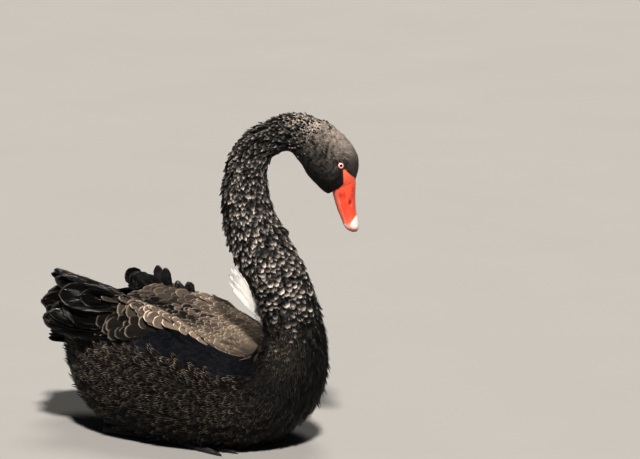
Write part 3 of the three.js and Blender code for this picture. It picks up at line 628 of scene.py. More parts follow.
# Legs and feet. Dark scaly skin over bone, folded flat beside the belly: a shank, three long toes
# joined by webs, a small hind toe, and a claw of horn on each toe. Set into the flanks at the heel.
FOOT = {"x": -18.0, "y": 66.0, "clear": 8.4}
TOES = {"inner": (90.0, -13.0), "middle": (118.0, -1.0), "outer": (108.0, 11.0)}
HIND_TOE = (24.0, 150.0)
TOE_RADII = (
    (0.0, 5.4), (0.12, 4.6), (0.36, 4.2), (0.42, 4.9), (0.5, 4.0),
    (0.7, 3.7), (0.76, 4.2), (0.86, 3.4), (0.97, 2.2),
)
TOE_PADS = {"swell": 0.03, "often": 1.9}
TOE_SUNK, SHANK_SUNK = 0.6, 0.9
LIMB_STEPS, TOE_ENDS = 30, 0.97
SHANK_LENGTH, SHANK_OUT = 96.0, 6
SHANK_RADII = ((0.0, 8.2), (0.2, 6.4), (0.5, 5.5), (0.8, 6.2), (1.0, 7.4))
WEB = {"reach": 0.84, "thick": 1.2, "high": 2.6, "hollow": 0.16, "ripple": 0.35, "ripples": 9}
WEB_COLUMNS, WEB_STEPS = 9, 14
CLAW = {"length": 11.0, "radius": 2.3, "drop": 1.6, "high": 2.6, "from": 0.93, "taper": 0.6, "tip": 0.25}
CLAW_STEPS, CLAW_AROUND = 8, 10


def toe_point(side, toe, reach):
    """The place on the ground so far along a toe, given as its length and its turn outwards."""
    turn = math.radians(toe[1])
    ahead = FOOT["x"] + FOOT["clear"] + reach * math.cos(turn)
    return np.array([ahead, side * (FOOT["y"] + reach * math.sin(turn)), 0.0])


def limb(points, radii, around=16):
    """Points and faces of a round limb through points."""
    points = np.asarray(points, float)
    ahead = unit(np.gradient(points, axis=0))
    across = unit(np.stack([-ahead[:, 1], ahead[:, 0], 0 * ahead[:, 0]], -1))
    up = np.cross(ahead, across)
    turn = np.linspace(0, 2 * math.pi, around, endpoint=False)
    radii = np.asarray(radii, float)[:, None, None]
    ring = np.cos(turn)[None, :, None] * across[:, None] + np.sin(turn)[None, :, None] * up[:, None]
    made = points[:, None] + radii * ring
    made[..., 2] = np.maximum(made[..., 2], LOWEST)
    return made.reshape(-1, 3), tube_faces(len(points), around)


def joined(parts):
    """Points and faces of several parts as one list each."""
    points, faces, start = [], [], 0
    for part_points, part_faces in parts:
        points.append(part_points)
        faces.extend(tuple(index + start for index in face) for face in part_faces)
        start += len(part_points)
    return np.concatenate(points), faces


def toe_part(side, toe):
    t = np.linspace(0, TOE_ENDS, LIMB_STEPS)
    pads = 1 + TOE_PADS["swell"] * np.sin(t * toe[0] * TOE_PADS["often"])
    radius = np.interp(t, *zip(*TOE_RADII)) * pads
    points = np.array([toe_point(side, toe, toe[0] * value) for value in t])
    points[:, 2] = radius - TOE_SUNK
    return limb(points, radius)


def claw_part(side, toe):
    t = np.linspace(0, 1, CLAW_STEPS)
    reach = toe[0] * CLAW["from"] + CLAW["length"] * t
    points = np.array([toe_point(side, toe, value) for value in reach])
    points[:, 2] = CLAW["high"] - CLAW["drop"] * t**2
    return limb(points, CLAW["radius"] * (1 - t) ** CLAW["taper"] + CLAW["tip"], CLAW_AROUND)


def web_part(side, first, second):
    """A web between two toes: thin skin that hangs in a shallow hollow at its front edge."""
    parts = []
    columns, steps = WEB_COLUMNS, WEB_STEPS
    for layer in (0.0, -WEB["thick"]):
        grid = []
        for i in range(steps + 1):
            for k in range(columns + 1):
                f = k / columns
                sag = 1 - WEB["hollow"] * math.sin(math.pi * f)
                length = (first[0] * (1 - f) + second[0] * f) * WEB["reach"] * sag
                point = toe_point(side, (0, first[1] * (1 - f) + second[1] * f), length * i / steps)
                ripple = WEB["ripple"] * math.sin(WEB["ripples"] * f * math.pi)
                point[2] = WEB["high"] + layer + ripple * i / steps
                grid.append(point)
        parts.append(np.array(grid))
    count, width = len(parts[0]), columns + 1
    faces = []
    for i in range(steps):
        for k in range(columns):
            a = i * width + k
            faces.append((a, a + 1, a + 1 + width, a + width))
            faces.append((a + count, a + width + count, a + 1 + width + count, a + 1 + count))
    border = list(range(width)) + [i * width + columns for i in range(1, steps + 1)]
    border += [steps * width + k for k in range(columns - 1, -1, -1)]
    border += [i * width for i in range(steps - 1, 0, -1)]
    for a, b in zip(border, border[1:] + border[:1]):
        faces.append((b, a, a + count, b + count))
    return np.concatenate(parts), faces


SCALE_GROOVE = colour(0.008, 0.008, 0.009)
SCALE_GREY = colour(0.028, 0.028, 0.031)
CLAW_BLACK = colour(0.008, 0.007, 0.007)
CLAW_WORN = colour(0.04, 0.035, 0.03)
material, tree, shader = new_material("foot_skin", Roughness=0.48)
where = node(tree, "ShaderNodeTexCoord").outputs["Object"]
scales = node(tree, "ShaderNodeTexVoronoi", {"Vector": where, "Scale": 420.0}, feature="DISTANCE_TO_EDGE")
lines = step_from(tree, scales.outputs["Distance"], 0.0, 0.12)
tree.links.new(between(tree, lines, SCALE_GROOVE, SCALE_GREY), shader.inputs["Base Color"])
tree.links.new(bump(tree, lines, 0.0004), shader.inputs["Normal"])
claw_material, tree, shader = new_material("claw", Roughness=0.3)
grain = noise(tree, 700.0)
tree.links.new(between(tree, grain, CLAW_BLACK, CLAW_WORN), shader.inputs["Base Color"])
for side_name, side in SIDES.items():
    toes = list(TOES.values())
    t = np.linspace(0, 1, LIMB_STEPS)
    radius = np.interp(t, *zip(*SHANK_RADII))
    back_x = FOOT["x"] - SHANK_LENGTH * (1 - t)
    line = np.stack([back_x, side * (FOOT["y"] + SHANK_OUT * (1 - t)), radius - SHANK_SUNK], -1)
    shank = facing_out(mesh_piece(f"shank_{side_name}_skin", *limb(line, radius)))
    parts = [toe_part(side, toe) for toe in [*toes, HIND_TOE]]
    parts += [web_part(side, toes[0], toes[1]), web_part(side, toes[1], toes[2])]
    foot = facing_out(mesh_piece(f"foot_{side_name}_skin", *joined(parts)))
    parts = [claw_part(side, toe) for toe in [*toes, HIND_TOE]]
    claws = facing_out(mesh_piece(f"claws_{side_name}", *joined(parts)))
    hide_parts(f"shank_{side_name}")
    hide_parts(f"foot_{side_name}")
    for made, finish in ((shank, material), (foot, material), (claws, claw_material)):
        made.data.materials.append(finish)
        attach(made, "root")

# Feathers of the head. A velvet of tiny feathers set close into the skin, lying back from the bill,
# so short that they show as a soft nap; the bare skin before the eyes and the eyes are left free.
BAKE_PATCH = 0.003
STRAND = {"width": 0.84, "thins by": 0.9, "shorter": 0.22, "uneven": 2.4, "phase": 1.0}


def feather_shape(name, across, along, share, cup, arch, strands=0):
    """A feather one unit long and one wide, its root at the origin, growing along +Y, upper face +Z.
    share gives its width along it, cup hangs its edges, arch bends its tip down. With strands it is
    frayed into so many separate barbs instead."""
    points, faces, uv = [], [], []
    columns = np.linspace(0, 1, across + 1)
    strips = [(columns, 0.0, 1.0)]
    if strands:
        half = STRAND["width"] / 2 / strands
        middles = (np.arange(strands) + 0.5) / strands
        turns = STRAND["uneven"] * np.arange(strands) + STRAND["phase"]
        lengths = 1 - STRAND["shorter"] * np.abs(np.sin(turns))
        strips = [(np.array([m - half, m + half]), 1.0, length) for m, length in zip(middles, lengths)]
    for strip, taper, length in strips:
        start = len(points)
        for i in range(along + 1):
            t = i / along
            thin = 1 - taper * STRAND["thins by"] * t
            for u in strip:
                middle = strip.mean()
                place = middle + (u - middle) * thin
                x = (place - 0.5) * share(t)
                z = -cup * (2 * place - 1) ** 2 - arch * t * t
                points.append((x, t * length, z))
                uv.append((u, t))
        width = len(strip)
        for i in range(along):
            for k in range(width - 1):
                a = start + i * width + k
                faces.append((a, a + 1, a + 1 + width, a + width))
    made = mesh_piece(name, np.array(points) / MM, faces, {"vane": uv})
    bpy.context.scene.collection.objects.unlink(made)
    return made


POINT_WIDTH = 0.06


def pointed(root, widest, power):
    """A width along a feather that grows from root to 1 at widest, then narrows to a point."""
    def share(t):
        if t < widest:
            return root + (1 - root) * math.sin(t / widest * math.pi / 2)
        return max(1 - ((t - widest) / (1 - widest)) ** power, POINT_WIDTH)
    return share


def coat_tree():
    """A tree that sets one feather on each point, turned and sized by the point's own values."""
    tree = bpy.data.node_groups.new("coat", "GeometryNodeTree")
    sockets = [
        ("Geometry", "NodeSocketGeometry"), ("Feather", "NodeSocketObject"), ("Width", "NodeSocketFloat"),
        ("Length", "NodeSocketFloat"), ("Height", "NodeSocketFloat"), ("Variation", "NodeSocketFloat"),
        ("Seed", "NodeSocketInt"), ("Material", "NodeSocketMaterial"),
    ]
    for name, kind in sockets:
        tree.interface.new_socket(name, in_out="INPUT", socket_type=kind)
    tree.interface.new_socket("Geometry", in_out="OUTPUT", socket_type="NodeSocketGeometry")
    given = node(tree, "NodeGroupInput").outputs
    feather = node(tree, "GeometryNodeObjectInfo", {"Object": given["Feather"]}).outputs["Geometry"]

    def stored(name):
        made = node(tree, "GeometryNodeInputNamedAttribute", {"Name": name}, data_type="FLOAT_VECTOR")
        return made.outputs["Attribute"]

    turn = node(tree, "FunctionNodeEulerToRotation", {"Euler": stored("turn")}).outputs["Rotation"]
    low = sum_of(tree, "SUBTRACT", 1.0, given["Variation"])
    high = sum_of(tree, "ADD", 1.0, given["Variation"])
    draw = node(tree, "FunctionNodeRandomValue", data_type="FLOAT")
    ends = {"Min": low, "Max": high, "Seed": given["Seed"]}
    for socket in draw.inputs:
        if socket.enabled and socket.name in ends:
            tree.links.new(ends[socket.name], socket)
    drawn = next(socket for socket in draw.outputs if socket.enabled)
    three = {"X": given["Width"], "Y": given["Length"], "Z": given["Height"]}
    scale = node(tree, "ShaderNodeCombineXYZ", three).outputs[0]
    size = node(tree, "ShaderNodeVectorMath", {0: stored("size"), 1: scale}, operation="MULTIPLY").outputs[0]
    size = node(tree, "ShaderNodeVectorMath", {0: size, "Scale": drawn}, operation="SCALE").outputs[0]
    inputs = {"Points": given["Geometry"], "Instance": feather, "Rotation": turn, "Scale": size}
    set_out = node(tree, "GeometryNodeInstanceOnPoints", inputs).outputs["Instances"]
    real = node(tree, "GeometryNodeRealizeInstances", {"Geometry": set_out}).outputs["Geometry"]
    spread = node(
        tree, "ShaderNodeVectorMath",
        {0: stored("vane"), 1: (BAKE_PATCH,) * 3, 2: stored("root_uv")}, operation="MULTIPLY_ADD",
    ).outputs[0]
    keep = node(
        tree, "GeometryNodeStoreNamedAttribute",
        {"Geometry": real, "Name": "OFBake", "Value": spread}, data_type="FLOAT2", domain="CORNER",
    ).outputs["Geometry"]
    for name in ("turn", "size", "root_uv"):
        keep = node(tree, "GeometryNodeRemoveAttribute", {"Geometry": keep, "Name": name}).outputs["Geometry"]
    inputs = {"Geometry": keep, "Material": given["Material"]}
    painted = node(tree, "GeometryNodeSetMaterial", inputs).outputs["Geometry"]
    node(tree, "NodeGroupOutput", {"Geometry": painted})
    return tree


COAT_TREE = coat_tree()


def euler_of(along, normal):
    """The XYZ angles that turn +Y to along and +Z to normal."""
    across = unit(np.cross(along, normal))
    normal = np.cross(across, along)
    return np.stack([
        np.arctan2(along[:, 2], normal[:, 2]),
        np.arcsin(np.clip(-across[:, 2], -1, 1)),
        np.arctan2(across[:, 1], across[:, 0]),
    ], -1)


ROW_TRIES, ROW_STEP = 160, 0.02


def rows_on(surface, u_ends, v_ends, row_gap, gap, draw, ragged=0.22):
    """Staggered rows of places (u, v) on a surface, from the first u to the last. v_ends gives the
    two ends of a row at u, row_gap and gap the millimetres between rows and within one, and ragged
    how far the places stray from their row, in gaps."""
    found = []
    u, row = u_ends[0], 0
    step = 1 if u_ends[1] > u_ends[0] else -1
    while (u_ends[1] - u) * step > 0:
        fine = np.linspace(*v_ends(u), ROW_TRIES)
        here = surface(np.full(ROW_TRIES, u), fine)
        ahead = surface(np.full(ROW_TRIES, u + ROW_STEP * step), fine)
        per_u = np.median(np.linalg.norm(ahead - here, axis=1)) / ROW_STEP
        length = np.concatenate([[0], np.cumsum(np.linalg.norm(np.diff(here, axis=0), axis=1))])
        count = max(int(length[-1] / gap(u)), 1)
        at = (np.arange(count) + 0.5 * (row % 2) + ragged * draw.uniform(-1, 1, count)) / count
        v = np.interp(at * length[-1], length, fine)
        shift = ragged * row_gap(u) / per_u * draw.uniform(-1, 1, count)
        found.append(np.stack([u + shift, v], -1))
        u += step * row_gap(u) / per_u
        row += 1
    return np.concatenate(found)


UNEVEN_LIFT, UNEVEN_ROLL = 0.25, 5.0
BAKE_SHEET = {"from": 0.005, "wide": 0.985}


def feathers_at(
    surface, places, draw, toward, sunk, tilt, size, tone=None, shade=None,
    yaw=7.0, veer=0.0, loose=1.0, lean=0.0, uv_of=None,
):
    """What the coat tree needs for each place: the point, the lie, the size and its own values.
    toward is -1 or 1, the way along u in which the feathers point. tilt, yaw and veer are in degrees:
    how far they lift, how much their lie varies, and how far it turns towards greater v; loose is
    how unevenly they lift and roll, and lean how far they roll towards greater v, in degrees."""
    u, v = places.T
    count = len(u)
    depth = -np.broadcast_to(sunk, count)
    at = surface(u, v, depth)
    normal, ahead = facing(surface, u, v, depth)
    along = unit(toward * ahead)
    across = np.cross(along, normal)
    onward = surface(u, v + NEAR, depth) - at
    across *= np.sign(np.sum(across * onward, axis=-1, keepdims=True))
    swing = np.radians(veer + yaw * draw.normal(0, 1, count))[:, None]
    along = unit(along * np.cos(swing) + across * np.sin(swing))
    rise = np.radians(tilt * (1 + UNEVEN_LIFT * loose * draw.normal(0, 1, count)))[:, None]
    raised = along * np.cos(rise) + normal * np.sin(rise)
    lifted = normal * np.cos(rise) - along * np.sin(rise)
    roll = np.radians(lean + UNEVEN_ROLL * loose * draw.normal(0, 1, count))[:, None]
    lifted = unit(lifted + across * np.tan(roll))
    sizes = np.stack([np.broadcast_to(part, count) for part in size], -1)
    uv = uv_of(u, v) if uv_of else np.stack([u / LAST_STATION, (v / (2 * math.pi)) % 1.0], -1)
    return {
        "at": at, "turn": euler_of(raised, lifted), "size": sizes,
        "root_uv": BAKE_SHEET["from"] + BAKE_SHEET["wide"] * uv,
        "tone": draw.uniform(0, 1, count) if tone is None else tone,
        "shade": np.zeros(count) if shade is None else np.broadcast_to(shade, count),
    }


def chosen(found, keep):
    """The places that keep is true for."""
    return {key: value[keep] for key, value in found.items()}


def coat(name, feather, found, material, seed, variation=0.12):
    """A plain mesh of feathers from the coat tree, one at each place found, each in its own size."""
    count = len(found["at"])
    mesh = bpy.data.meshes.new(name)
    mesh.vertices.add(count)
    mesh.vertices.foreach_set("co", (found["at"] * MM).astype(np.float32).ravel())
    for key in ("turn", "size", "root_uv"):
        value = np.zeros((count, 3), np.float32)
        value[:, :found[key].shape[1]] = found[key] * (MM if key == "size" else 1.0)
        mesh.attributes.new(key, "FLOAT_VECTOR", "POINT").data.foreach_set("vector", value.ravel())
    for key in ("tone", "shade"):
        value = found[key].astype(np.float32)
        mesh.attributes.new(key, "FLOAT", "POINT").data.foreach_set("value", value)
    made = bpy.data.objects.new(name, mesh)
    bpy.context.scene.collection.objects.link(made)
    modifier = made.modifiers.new("coat", "NODES")
    modifier.node_group = COAT_TREE
    values = {
        "Feather": feather, "Width": 1.0, "Length": 1.0, "Height": 1.0,
        "Variation": variation, "Seed": seed, "Material": material,
    }
    for socket in COAT_TREE.interface.items_tree:
        if socket.in_out == "INPUT" and socket.name in values:
            modifier[socket.identifier] = values[socket.name]
    graph = bpy.context.evaluated_depsgraph_get()
    plain = bpy.data.meshes.new_from_object(made.evaluated_get(graph), depsgraph=graph)
    made.modifiers.remove(modifier)
    made.data = plain
    plain.name = name
    points = np.zeros(len(plain.vertices) * 3, np.float32)
    plain.vertices.foreach_get("co", points)
    points = points.reshape(-1, 3)
    points[:, 2] = np.maximum(points[:, 2], LOWEST * MM)
    plain.vertices.foreach_set("co", points.ravel())
    plain.polygons.foreach_set("use_smooth", [True] * len(plain.polygons))
    plain.update()
    return made


BARB_SLANT, BARB_FRAY, QUILL_WIDTH = 0.45, 0.03, 0.07
TIP_POWER, EDGE_POWER = 1.6, 3.0
CLOUD_SCALE = 240.0


def plumage(
    name, base, edge, fringe=(0.72, 1.0), rim=1.0, barbs=46.0, shaft=0.0, mottle=0.35,
    barb_height=0.00012, **values,
):
    """A feather material: base and edge are pairs of colours, mixed by a feather's own shade; fringe
    is where across the vane its pale edge begins and is full, and rim how far that edge runs up its
    sides; barbs are the fine lines on each side."""
    material, tree, shader = new_material(name, **values)
    vane = node(tree, "ShaderNodeUVMap", uv_map="vane").outputs[0]
    split = node(tree, "ShaderNodeSeparateXYZ", {0: vane}).outputs
    centred = sum_of(tree, "MULTIPLY_ADD", split["X"], 2.0, -1.0)
    side = sum_of(tree, "ABSOLUTE", centred)
    tip = sum_of(tree, "POWER", split["Y"], TIP_POWER)
    beside = sum_of(tree, "MULTIPLY", sum_of(tree, "POWER", side, EDGE_POWER), rim)
    far = sum_of(tree, "SQRT", sum_of(tree, "ADD", beside, sum_of(tree, "POWER", tip, EDGE_POWER)))
    tone = node(tree, "ShaderNodeAttribute", attribute_name="tone").outputs["Fac"]
    shade = node(tree, "ShaderNodeAttribute", attribute_name="shade").outputs["Fac"]
    slanted = sum_of(tree, "MULTIPLY_ADD", side, BARB_SLANT, split["Y"])
    comb = sum_of(tree, "SINE", sum_of(tree, "MULTIPLY", slanted, -barbs * math.tau))
    rough_edge = sum_of(tree, "MULTIPLY_ADD", comb, BARB_FRAY, far)
    pale = step_from(tree, rough_edge, *fringe)
    inner = between(tree, shade, base[0], base[1])
    outer = between(tree, shade, edge[0], edge[1])
    tint = between(tree, pale, inner, outer)
    cloud = noise(tree, CLOUD_SCALE)
    uneven = sum_of(tree, "ADD", tone, sum_of(tree, "SUBTRACT", cloud, 0.5))
    level = sum_of(tree, "MULTIPLY_ADD", uneven, 2 * mottle, 1 - mottle)
    if shaft:
        quill = sum_of(tree, "SUBTRACT", 1.0, step_from(tree, side, 0.0, QUILL_WIDTH))
        level = sum_of(tree, "MULTIPLY_ADD", quill, shaft, level)
    bright = node(tree, "ShaderNodeVectorMath", {0: tint, "Scale": level}, operation="SCALE").outputs[0]
    tree.links.new(bright, shader.inputs["Base Color"])
    tree.links.new(bump(tree, comb, barb_height), shader.inputs["Normal"])
    return material


def patches(u, v, along, round_it):
    """Soft irregular patches from -1 to 1: along and round_it each give how many waves there are, how
    strongly they swing, and how often."""
    waves_u, swing_u, often_u = along
    waves_v, swing_v, often_v = round_it
    one_way = np.sin(waves_u * u + swing_u * np.sin(often_u * v))
    return one_way * np.sin(waves_v * v + swing_v * np.sin(often_v * u))


HEAD_FEATHERS = {"gap": 1.7, "row gap": 1.15, "width": 2.3, "length": 4.6, "tilt": 9.0, "set": 0.85}
HEAD_SIZES = {"arch": 1.35, "eyes": 0.9, "bill root": 0.7}
# Painted shade: the face before the brow and the head low down take the darker pair of colours. Painted
# highlight: a band along the top of the head is made paler.
HEAD_PAINTED_SHADE = {"beyond brow": 1.6, "from angle": 1.1, "over": 1.0}
HEAD_PAINTED_SHEEN = {"more": 1.3, "angle": 0.45, "wide": 0.55}
HEAD_PATCHES = {"more": 0.65, "waves": ((11, 2, 5), (7, 2, 4))}
EYE_CLEAR = {"margin": 1.2, "height": 1.12, "reach": 12}
draw = np.random.default_rng(41)
places = rows_on(
    body, (STATION["arch"] - 0.2, LAST_STATION - 0.02), lambda u: (-math.pi, math.pi),
    lambda u: HEAD_FEATHERS["gap"] * HEAD_FEATHERS["row gap"], lambda u: HEAD_FEATHERS["gap"], draw,
)
u, v = places.T
small = np.interp(u, [STATION[name] for name in HEAD_SIZES], list(HEAD_SIZES.values()))
face_painted_shade = ramp(u, STATION["brow"], HEAD_PAINTED_SHADE["beyond brow"])
low_painted_shade = ramp(np.abs(v), HEAD_PAINTED_SHADE["from angle"], HEAD_PAINTED_SHADE["over"])
sheen = HEAD_PAINTED_SHEEN["more"] * hump(np.abs(v), HEAD_PAINTED_SHEEN["angle"], HEAD_PAINTED_SHEEN["wide"])
tone = draw.uniform(0, 1, len(places)) + sheen + HEAD_PATCHES["more"] * patches(u, v, *HEAD_PATCHES["waves"])
head_places = feathers_at(
    body, places, draw, -1, body_depth(u) * HEAD_FEATHERS["set"], HEAD_FEATHERS["tilt"],
    (HEAD_FEATHERS["width"] * small, HEAD_FEATHERS["length"] * small, 1.0),
    tone=tone, shade=np.maximum(face_painted_shade, low_painted_shade), loose=0.6,
)
keep = bareness(head_places["at"]) * (u > STATION["crown"]) < 0.5
for side in SIDES.values():
    at, out, ahead, up = eye_place(side)
    off = head_places["at"] - at
    clear = np.hypot(off @ ahead, (off @ up) * EYE_CLEAR["height"]) > EYE_OPENING + EYE_CLEAR["margin"]
    keep &= clear | (np.abs(off @ out) > EYE_CLEAR["reach"])
shape = feather_shape("head_feather", 2, 2, pointed(0.5, 0.4, 1.5), 0.18, 0.25)
# The first pair, for the crown and nape, is brightened as a painted highlight; the second, darker pair is the
# painted shade of the face and of the head low down.
material = plumage(
    "head_plumage",
    (colour(0.050, 0.0432, 0.0380), colour(0.010, 0.0087, 0.0076)),
    (colour(0.270, 0.236, 0.210), colour(0.070, 0.060, 0.053)),
    fringe=(0.4, 1.1), rim=0.4, barbs=8.0, mottle=0.7, Roughness=0.43, Specular_IOR_Level=0.6,
)
head_coat = coat("head_feathers", shape, chosen(head_places, keep), material, 3)
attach(head_coat, "root")

# Feathers of the neck. Small feathers set in rows round the neck with their tips free: broad round
# scales at its foot, and towards the head narrow pointed tufts, smaller and closer, that stand ruffled.
NECK_FEATHERS = {
    "from": STATION["neck root"] - 0.1, "full": STATION["neck foot"] + 0.6,
    "thin": STATION["arch"] + 0.4, "to": STATION["crown"],
}
NECK_FULLNESS = (0.1, 1, 1, 0.15)
NECK_SIZES = {
    # millimetres or degrees at the foot of the neck, and how much less at the arch
    "row gap": (7.4, 4.0), "gap": (8.4, 4.2), "tilt": (22, 3),
    "width": (11.6, 5.4), "length": (13.6, 5.4), "height": (2.0, 0.8),
}
TUFTS = {"from": 0.22, "over": 0.2, "narrower": 1.6, "longer": 2.0, "yaw": 8.0}
NECK_SMALLER = {"nape": 0.35, "foot": 0.3, "over": 1.6}
# Painted shade: the foot of the neck, the nape and the neck near the arch are made darker.
NECK_PAINTED_SHADE = {
    # how much darker, and over how many stations it comes
    "foot": (0.3, 1.8), "nape": (0.45, 2), "arch": (0.22, 2),
}
NAPE_WIDE, FRONT_WIDE, FRONT_CALM = 0.8, 0.8, 0.35
NECK_SET = 0.9
NECK_RUFFLE = {"more": 0.35, "waves": 9.1, "swing": 2.2, "often": 5.0}


def rounded(root, widest, tip):
    """A width along a feather that grows from root to 1 at widest, then closes round to tip."""
    def share(t):
        if t < widest:
            return root + (1 - root) * math.sin(t / widest * math.pi / 2)
        return max(math.sqrt(max(1 - ((t - widest) / (1.001 - widest)) ** 2, 0)), tip)
    return share


def neck_share(u):
    """0 at the foot of the neck, 1 at the arch."""
    return ramp(u, STATION["neck root"], STATION["arch"] - STATION["neck root"])


def neck_size(key, u):
    at_foot, less = NECK_SIZES[key]
    return at_foot - less * neck_share(u)


draw = np.random.default_rng(7)
places = rows_on(
    body, (NECK_FEATHERS["from"], NECK_FEATHERS["to"]), lambda u: (-math.pi, math.pi),
    lambda u: neck_size("row gap", u), lambda u: neck_size("gap", u), draw, ragged=0.15,
)
fullness = np.interp(places[:, 0], list(NECK_FEATHERS.values()), NECK_FULLNESS)
places = places[draw.uniform(0, 1, len(places)) < fullness]
u, v = places.T
smaller = 1 - NECK_SMALLER["nape"] * ramp(u, STATION["arch"], NECK_SMALLER["over"])
smaller *= 1 - NECK_SMALLER["foot"] * ramp(STATION["low neck"] - u, 0, NECK_SMALLER["over"])
foot_painted_shade = NECK_PAINTED_SHADE["foot"][0] * ramp(STATION["low neck"] + 0.8 - u, 0, NECK_PAINTED_SHADE["foot"][1])
nape_band = hump(np.abs((v + math.pi) % math.tau - math.pi), 0, NAPE_WIDE)
nape_painted_shade = NECK_PAINTED_SHADE["nape"][0] * nape_band * ramp(STATION["arch"] - u, 0, NECK_PAINTED_SHADE["nape"][1])
arch_painted_shade = NECK_PAINTED_SHADE["arch"][0] * ramp(u - STATION["arch"], -3.0, NECK_PAINTED_SHADE["arch"][1])
front_calm = 1 - FRONT_CALM * hump(v % math.tau, math.pi, FRONT_WIDE)
swing = NECK_RUFFLE["swing"] * np.sin(v * NECK_RUFFLE["often"])
ruffle = 1 + NECK_RUFFLE["more"] * np.sin(u * NECK_RUFFLE["waves"] + swing)
upper = ramp(neck_share(u), TUFTS["from"], TUFTS["over"])
tone = draw.uniform(0, 1, len(places)) - foot_painted_shade - nape_painted_shade - arch_painted_shade
width = (neck_size("width", u) - TUFTS["narrower"] * upper) * smaller
length = (neck_size("length", u) + TUFTS["longer"] * upper) * smaller
neck_places = feathers_at(
    body, places, draw, -1, body_depth(u) * NECK_SET,
    neck_size("tilt", u) * ruffle * front_calm * smaller, (width, length, neck_size("height", u)),
    yaw=9.0 + TUFTS["yaw"] * upper, tone=tone,
)
# The pale tips are the feathers' own grey edges, brightened as a painted highlight of the gloss on their lit
# faces.
material = plumage(
    "neck_plumage",
    (colour(0.0036, 0.0032, 0.0030), colour(0.02, 0.017, 0.014)),
    (colour(0.300, 0.275, 0.253), colour(0.05, 0.04, 0.035)),
    fringe=(0.16, 0.95), rim=0.1, barbs=9.0, shaft=0.25, mottle=0.95, barb_height=0.0002,
    Roughness=0.32, Specular_IOR_Level=0.4,
)
NECK_COATS = {
    # the vane's outline, cup and arch
    "neck_scales": (rounded(0.6, 0.5, 0.35), 0.7, 0.85),
    "neck_tufts": (pointed(0.55, 0.45, 2.2), 0.9, 0.7),
}
is_tuft = upper > draw.uniform(0, 1, len(places))
for name, (outline, cup, arch) in NECK_COATS.items():
    shape = feather_shape(name + "_feather", 4, 5, outline, cup, arch)
    here = chosen(neck_places, is_tuft == (name == "neck_tufts"))
    neck_coat = coat(name, shape, here, material, 5, variation=0.2)
    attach(neck_coat, "root")

# Feathers of the breast, flanks and belly. Soft body feathers whose loose barbs part into hair-like
# points, set into the skin from the foot of the neck to the stern and lapping over the wings' edge.
BREAST = {
    "from": 0.15, "full": STATION["neck root"] + 0.4, "to": STATION["low neck"], "fullness there": 0.2,
    "row gap": 5.4, "gap": 6.0, "width": 10.5, "length": 19, "height": 2.6, "tilt": 19.0, "clear": 2.5,
    "set": 0.9, "tone": 0.25, "uneven": 0.5,
}
FLANK_TOP = ((0, 0), (2.8, 0), (3.8, 59), (8.6, 62), (9.8, 50), (10.8, 30), (12, 0))
# The topmost ones are made paler by "paler": a painted highlight on the roll that laps over the wing's edge.
LAP = {
    # where the topmost ones lap over the wing's edge, and how they differ from the others
    "wide": 0.15, "from": 3, "to": 9.8, "out": 6, "tilt": 2, "veer": -16, "paler": 0.6,
}
CLUMPS = {"tilt": 0.6, "tone": 0.45, "waves": ((19, 3, 11), (45, 2, 7))}
# Painted shade: the breast is made darker towards the front.
BREAST_PAINTED_SHADE = {"from": 8.8, "over": 2.0, "darker": 0.9}
FRONT_SHORT = {"from": 8, "over": 3, "shorter": 4}
STERN_CALM = {"calmer": 0.5, "wide": 2.2}
# Painted highlight: the crop and a band along the top of the flanks at the hips are made paler.
CROP_PAINTED_SHEEN = {"more": 0.9, "station": STATION["neck root"] + 0.2, "long": 0.9, "high": 0.7}
HIP_PAINTED_SHEEN = {"more": 1.3, "station": 3.0, "long": 1.6, "high": 0.5}
draw = np.random.default_rng(19)


def flank_ends(u):
    """The angles between which the soft feathers grow: all round the stern and the breast, and below
    the folded wings between."""
    top = np.interp(u, *zip(*FLANK_TOP))
    return math.radians(top), math.tau - math.radians(top)


places = rows_on(
    body, (BREAST["from"], BREAST["to"]), flank_ends,
    lambda u: BREAST["row gap"], lambda u: BREAST["gap"], draw,
)
fullness = np.interp(places[:, 0], [BREAST["full"], BREAST["to"]], [1, BREAST["fullness there"]])
places = places[draw.uniform(0, 1, len(places)) < fullness]
u, v = places.T
reach = np.minimum(v, math.tau - v)
top = np.array([flank_ends(station)[0] for station in u])
lap = hump(reach, top, LAP["wide"]) * (u > LAP["from"]) * (u < LAP["to"])
clumps = patches(u, v, *CLUMPS["waves"])
crop = CROP_PAINTED_SHEEN["more"] * hump(u, CROP_PAINTED_SHEEN["station"], CROP_PAINTED_SHEEN["long"])
crop *= hump(reach, math.pi / 2, CROP_PAINTED_SHEEN["high"])
hip = HIP_PAINTED_SHEEN["more"] * hump(u, HIP_PAINTED_SHEEN["station"], HIP_PAINTED_SHEEN["long"])
hip *= hump(reach, top, HIP_PAINTED_SHEEN["high"])
tone = BREAST["uneven"] * draw.uniform(0, 1, len(places)) + BREAST["tone"] + CLUMPS["tone"] * clumps
tone *= 1 - BREAST_PAINTED_SHADE["darker"] * ramp(u, BREAST_PAINTED_SHADE["from"], BREAST_PAINTED_SHADE["over"])
tone += LAP["paler"] * lap + hip + crop
tilt = (BREAST["tilt"] + LAP["tilt"] * lap) * (1 + CLUMPS["tilt"] * clumps)
tilt *= 1 - STERN_CALM["calmer"] * hump(u, 0, STERN_CALM["wide"])
length = BREAST["length"] - FRONT_SHORT["shorter"] * ramp(u, FRONT_SHORT["from"], FRONT_SHORT["over"])
flank_places = feathers_at(
    body, places, draw, -1, body_depth(u) * BREAST["set"] - LAP["out"] * lap, tilt,
    (BREAST["width"], length, BREAST["height"]), yaw=14.0, tone=tone,
    veer=LAP["veer"] * lap * np.where(v < math.pi, 1, -1),
)
keep = flank_places["at"][:, 2] > BREAST["clear"]
shape = feather_shape("soft_feather", 2, 4, rounded(0.45, 0.5, 0.55), 0.5, 0.7, strands=3)
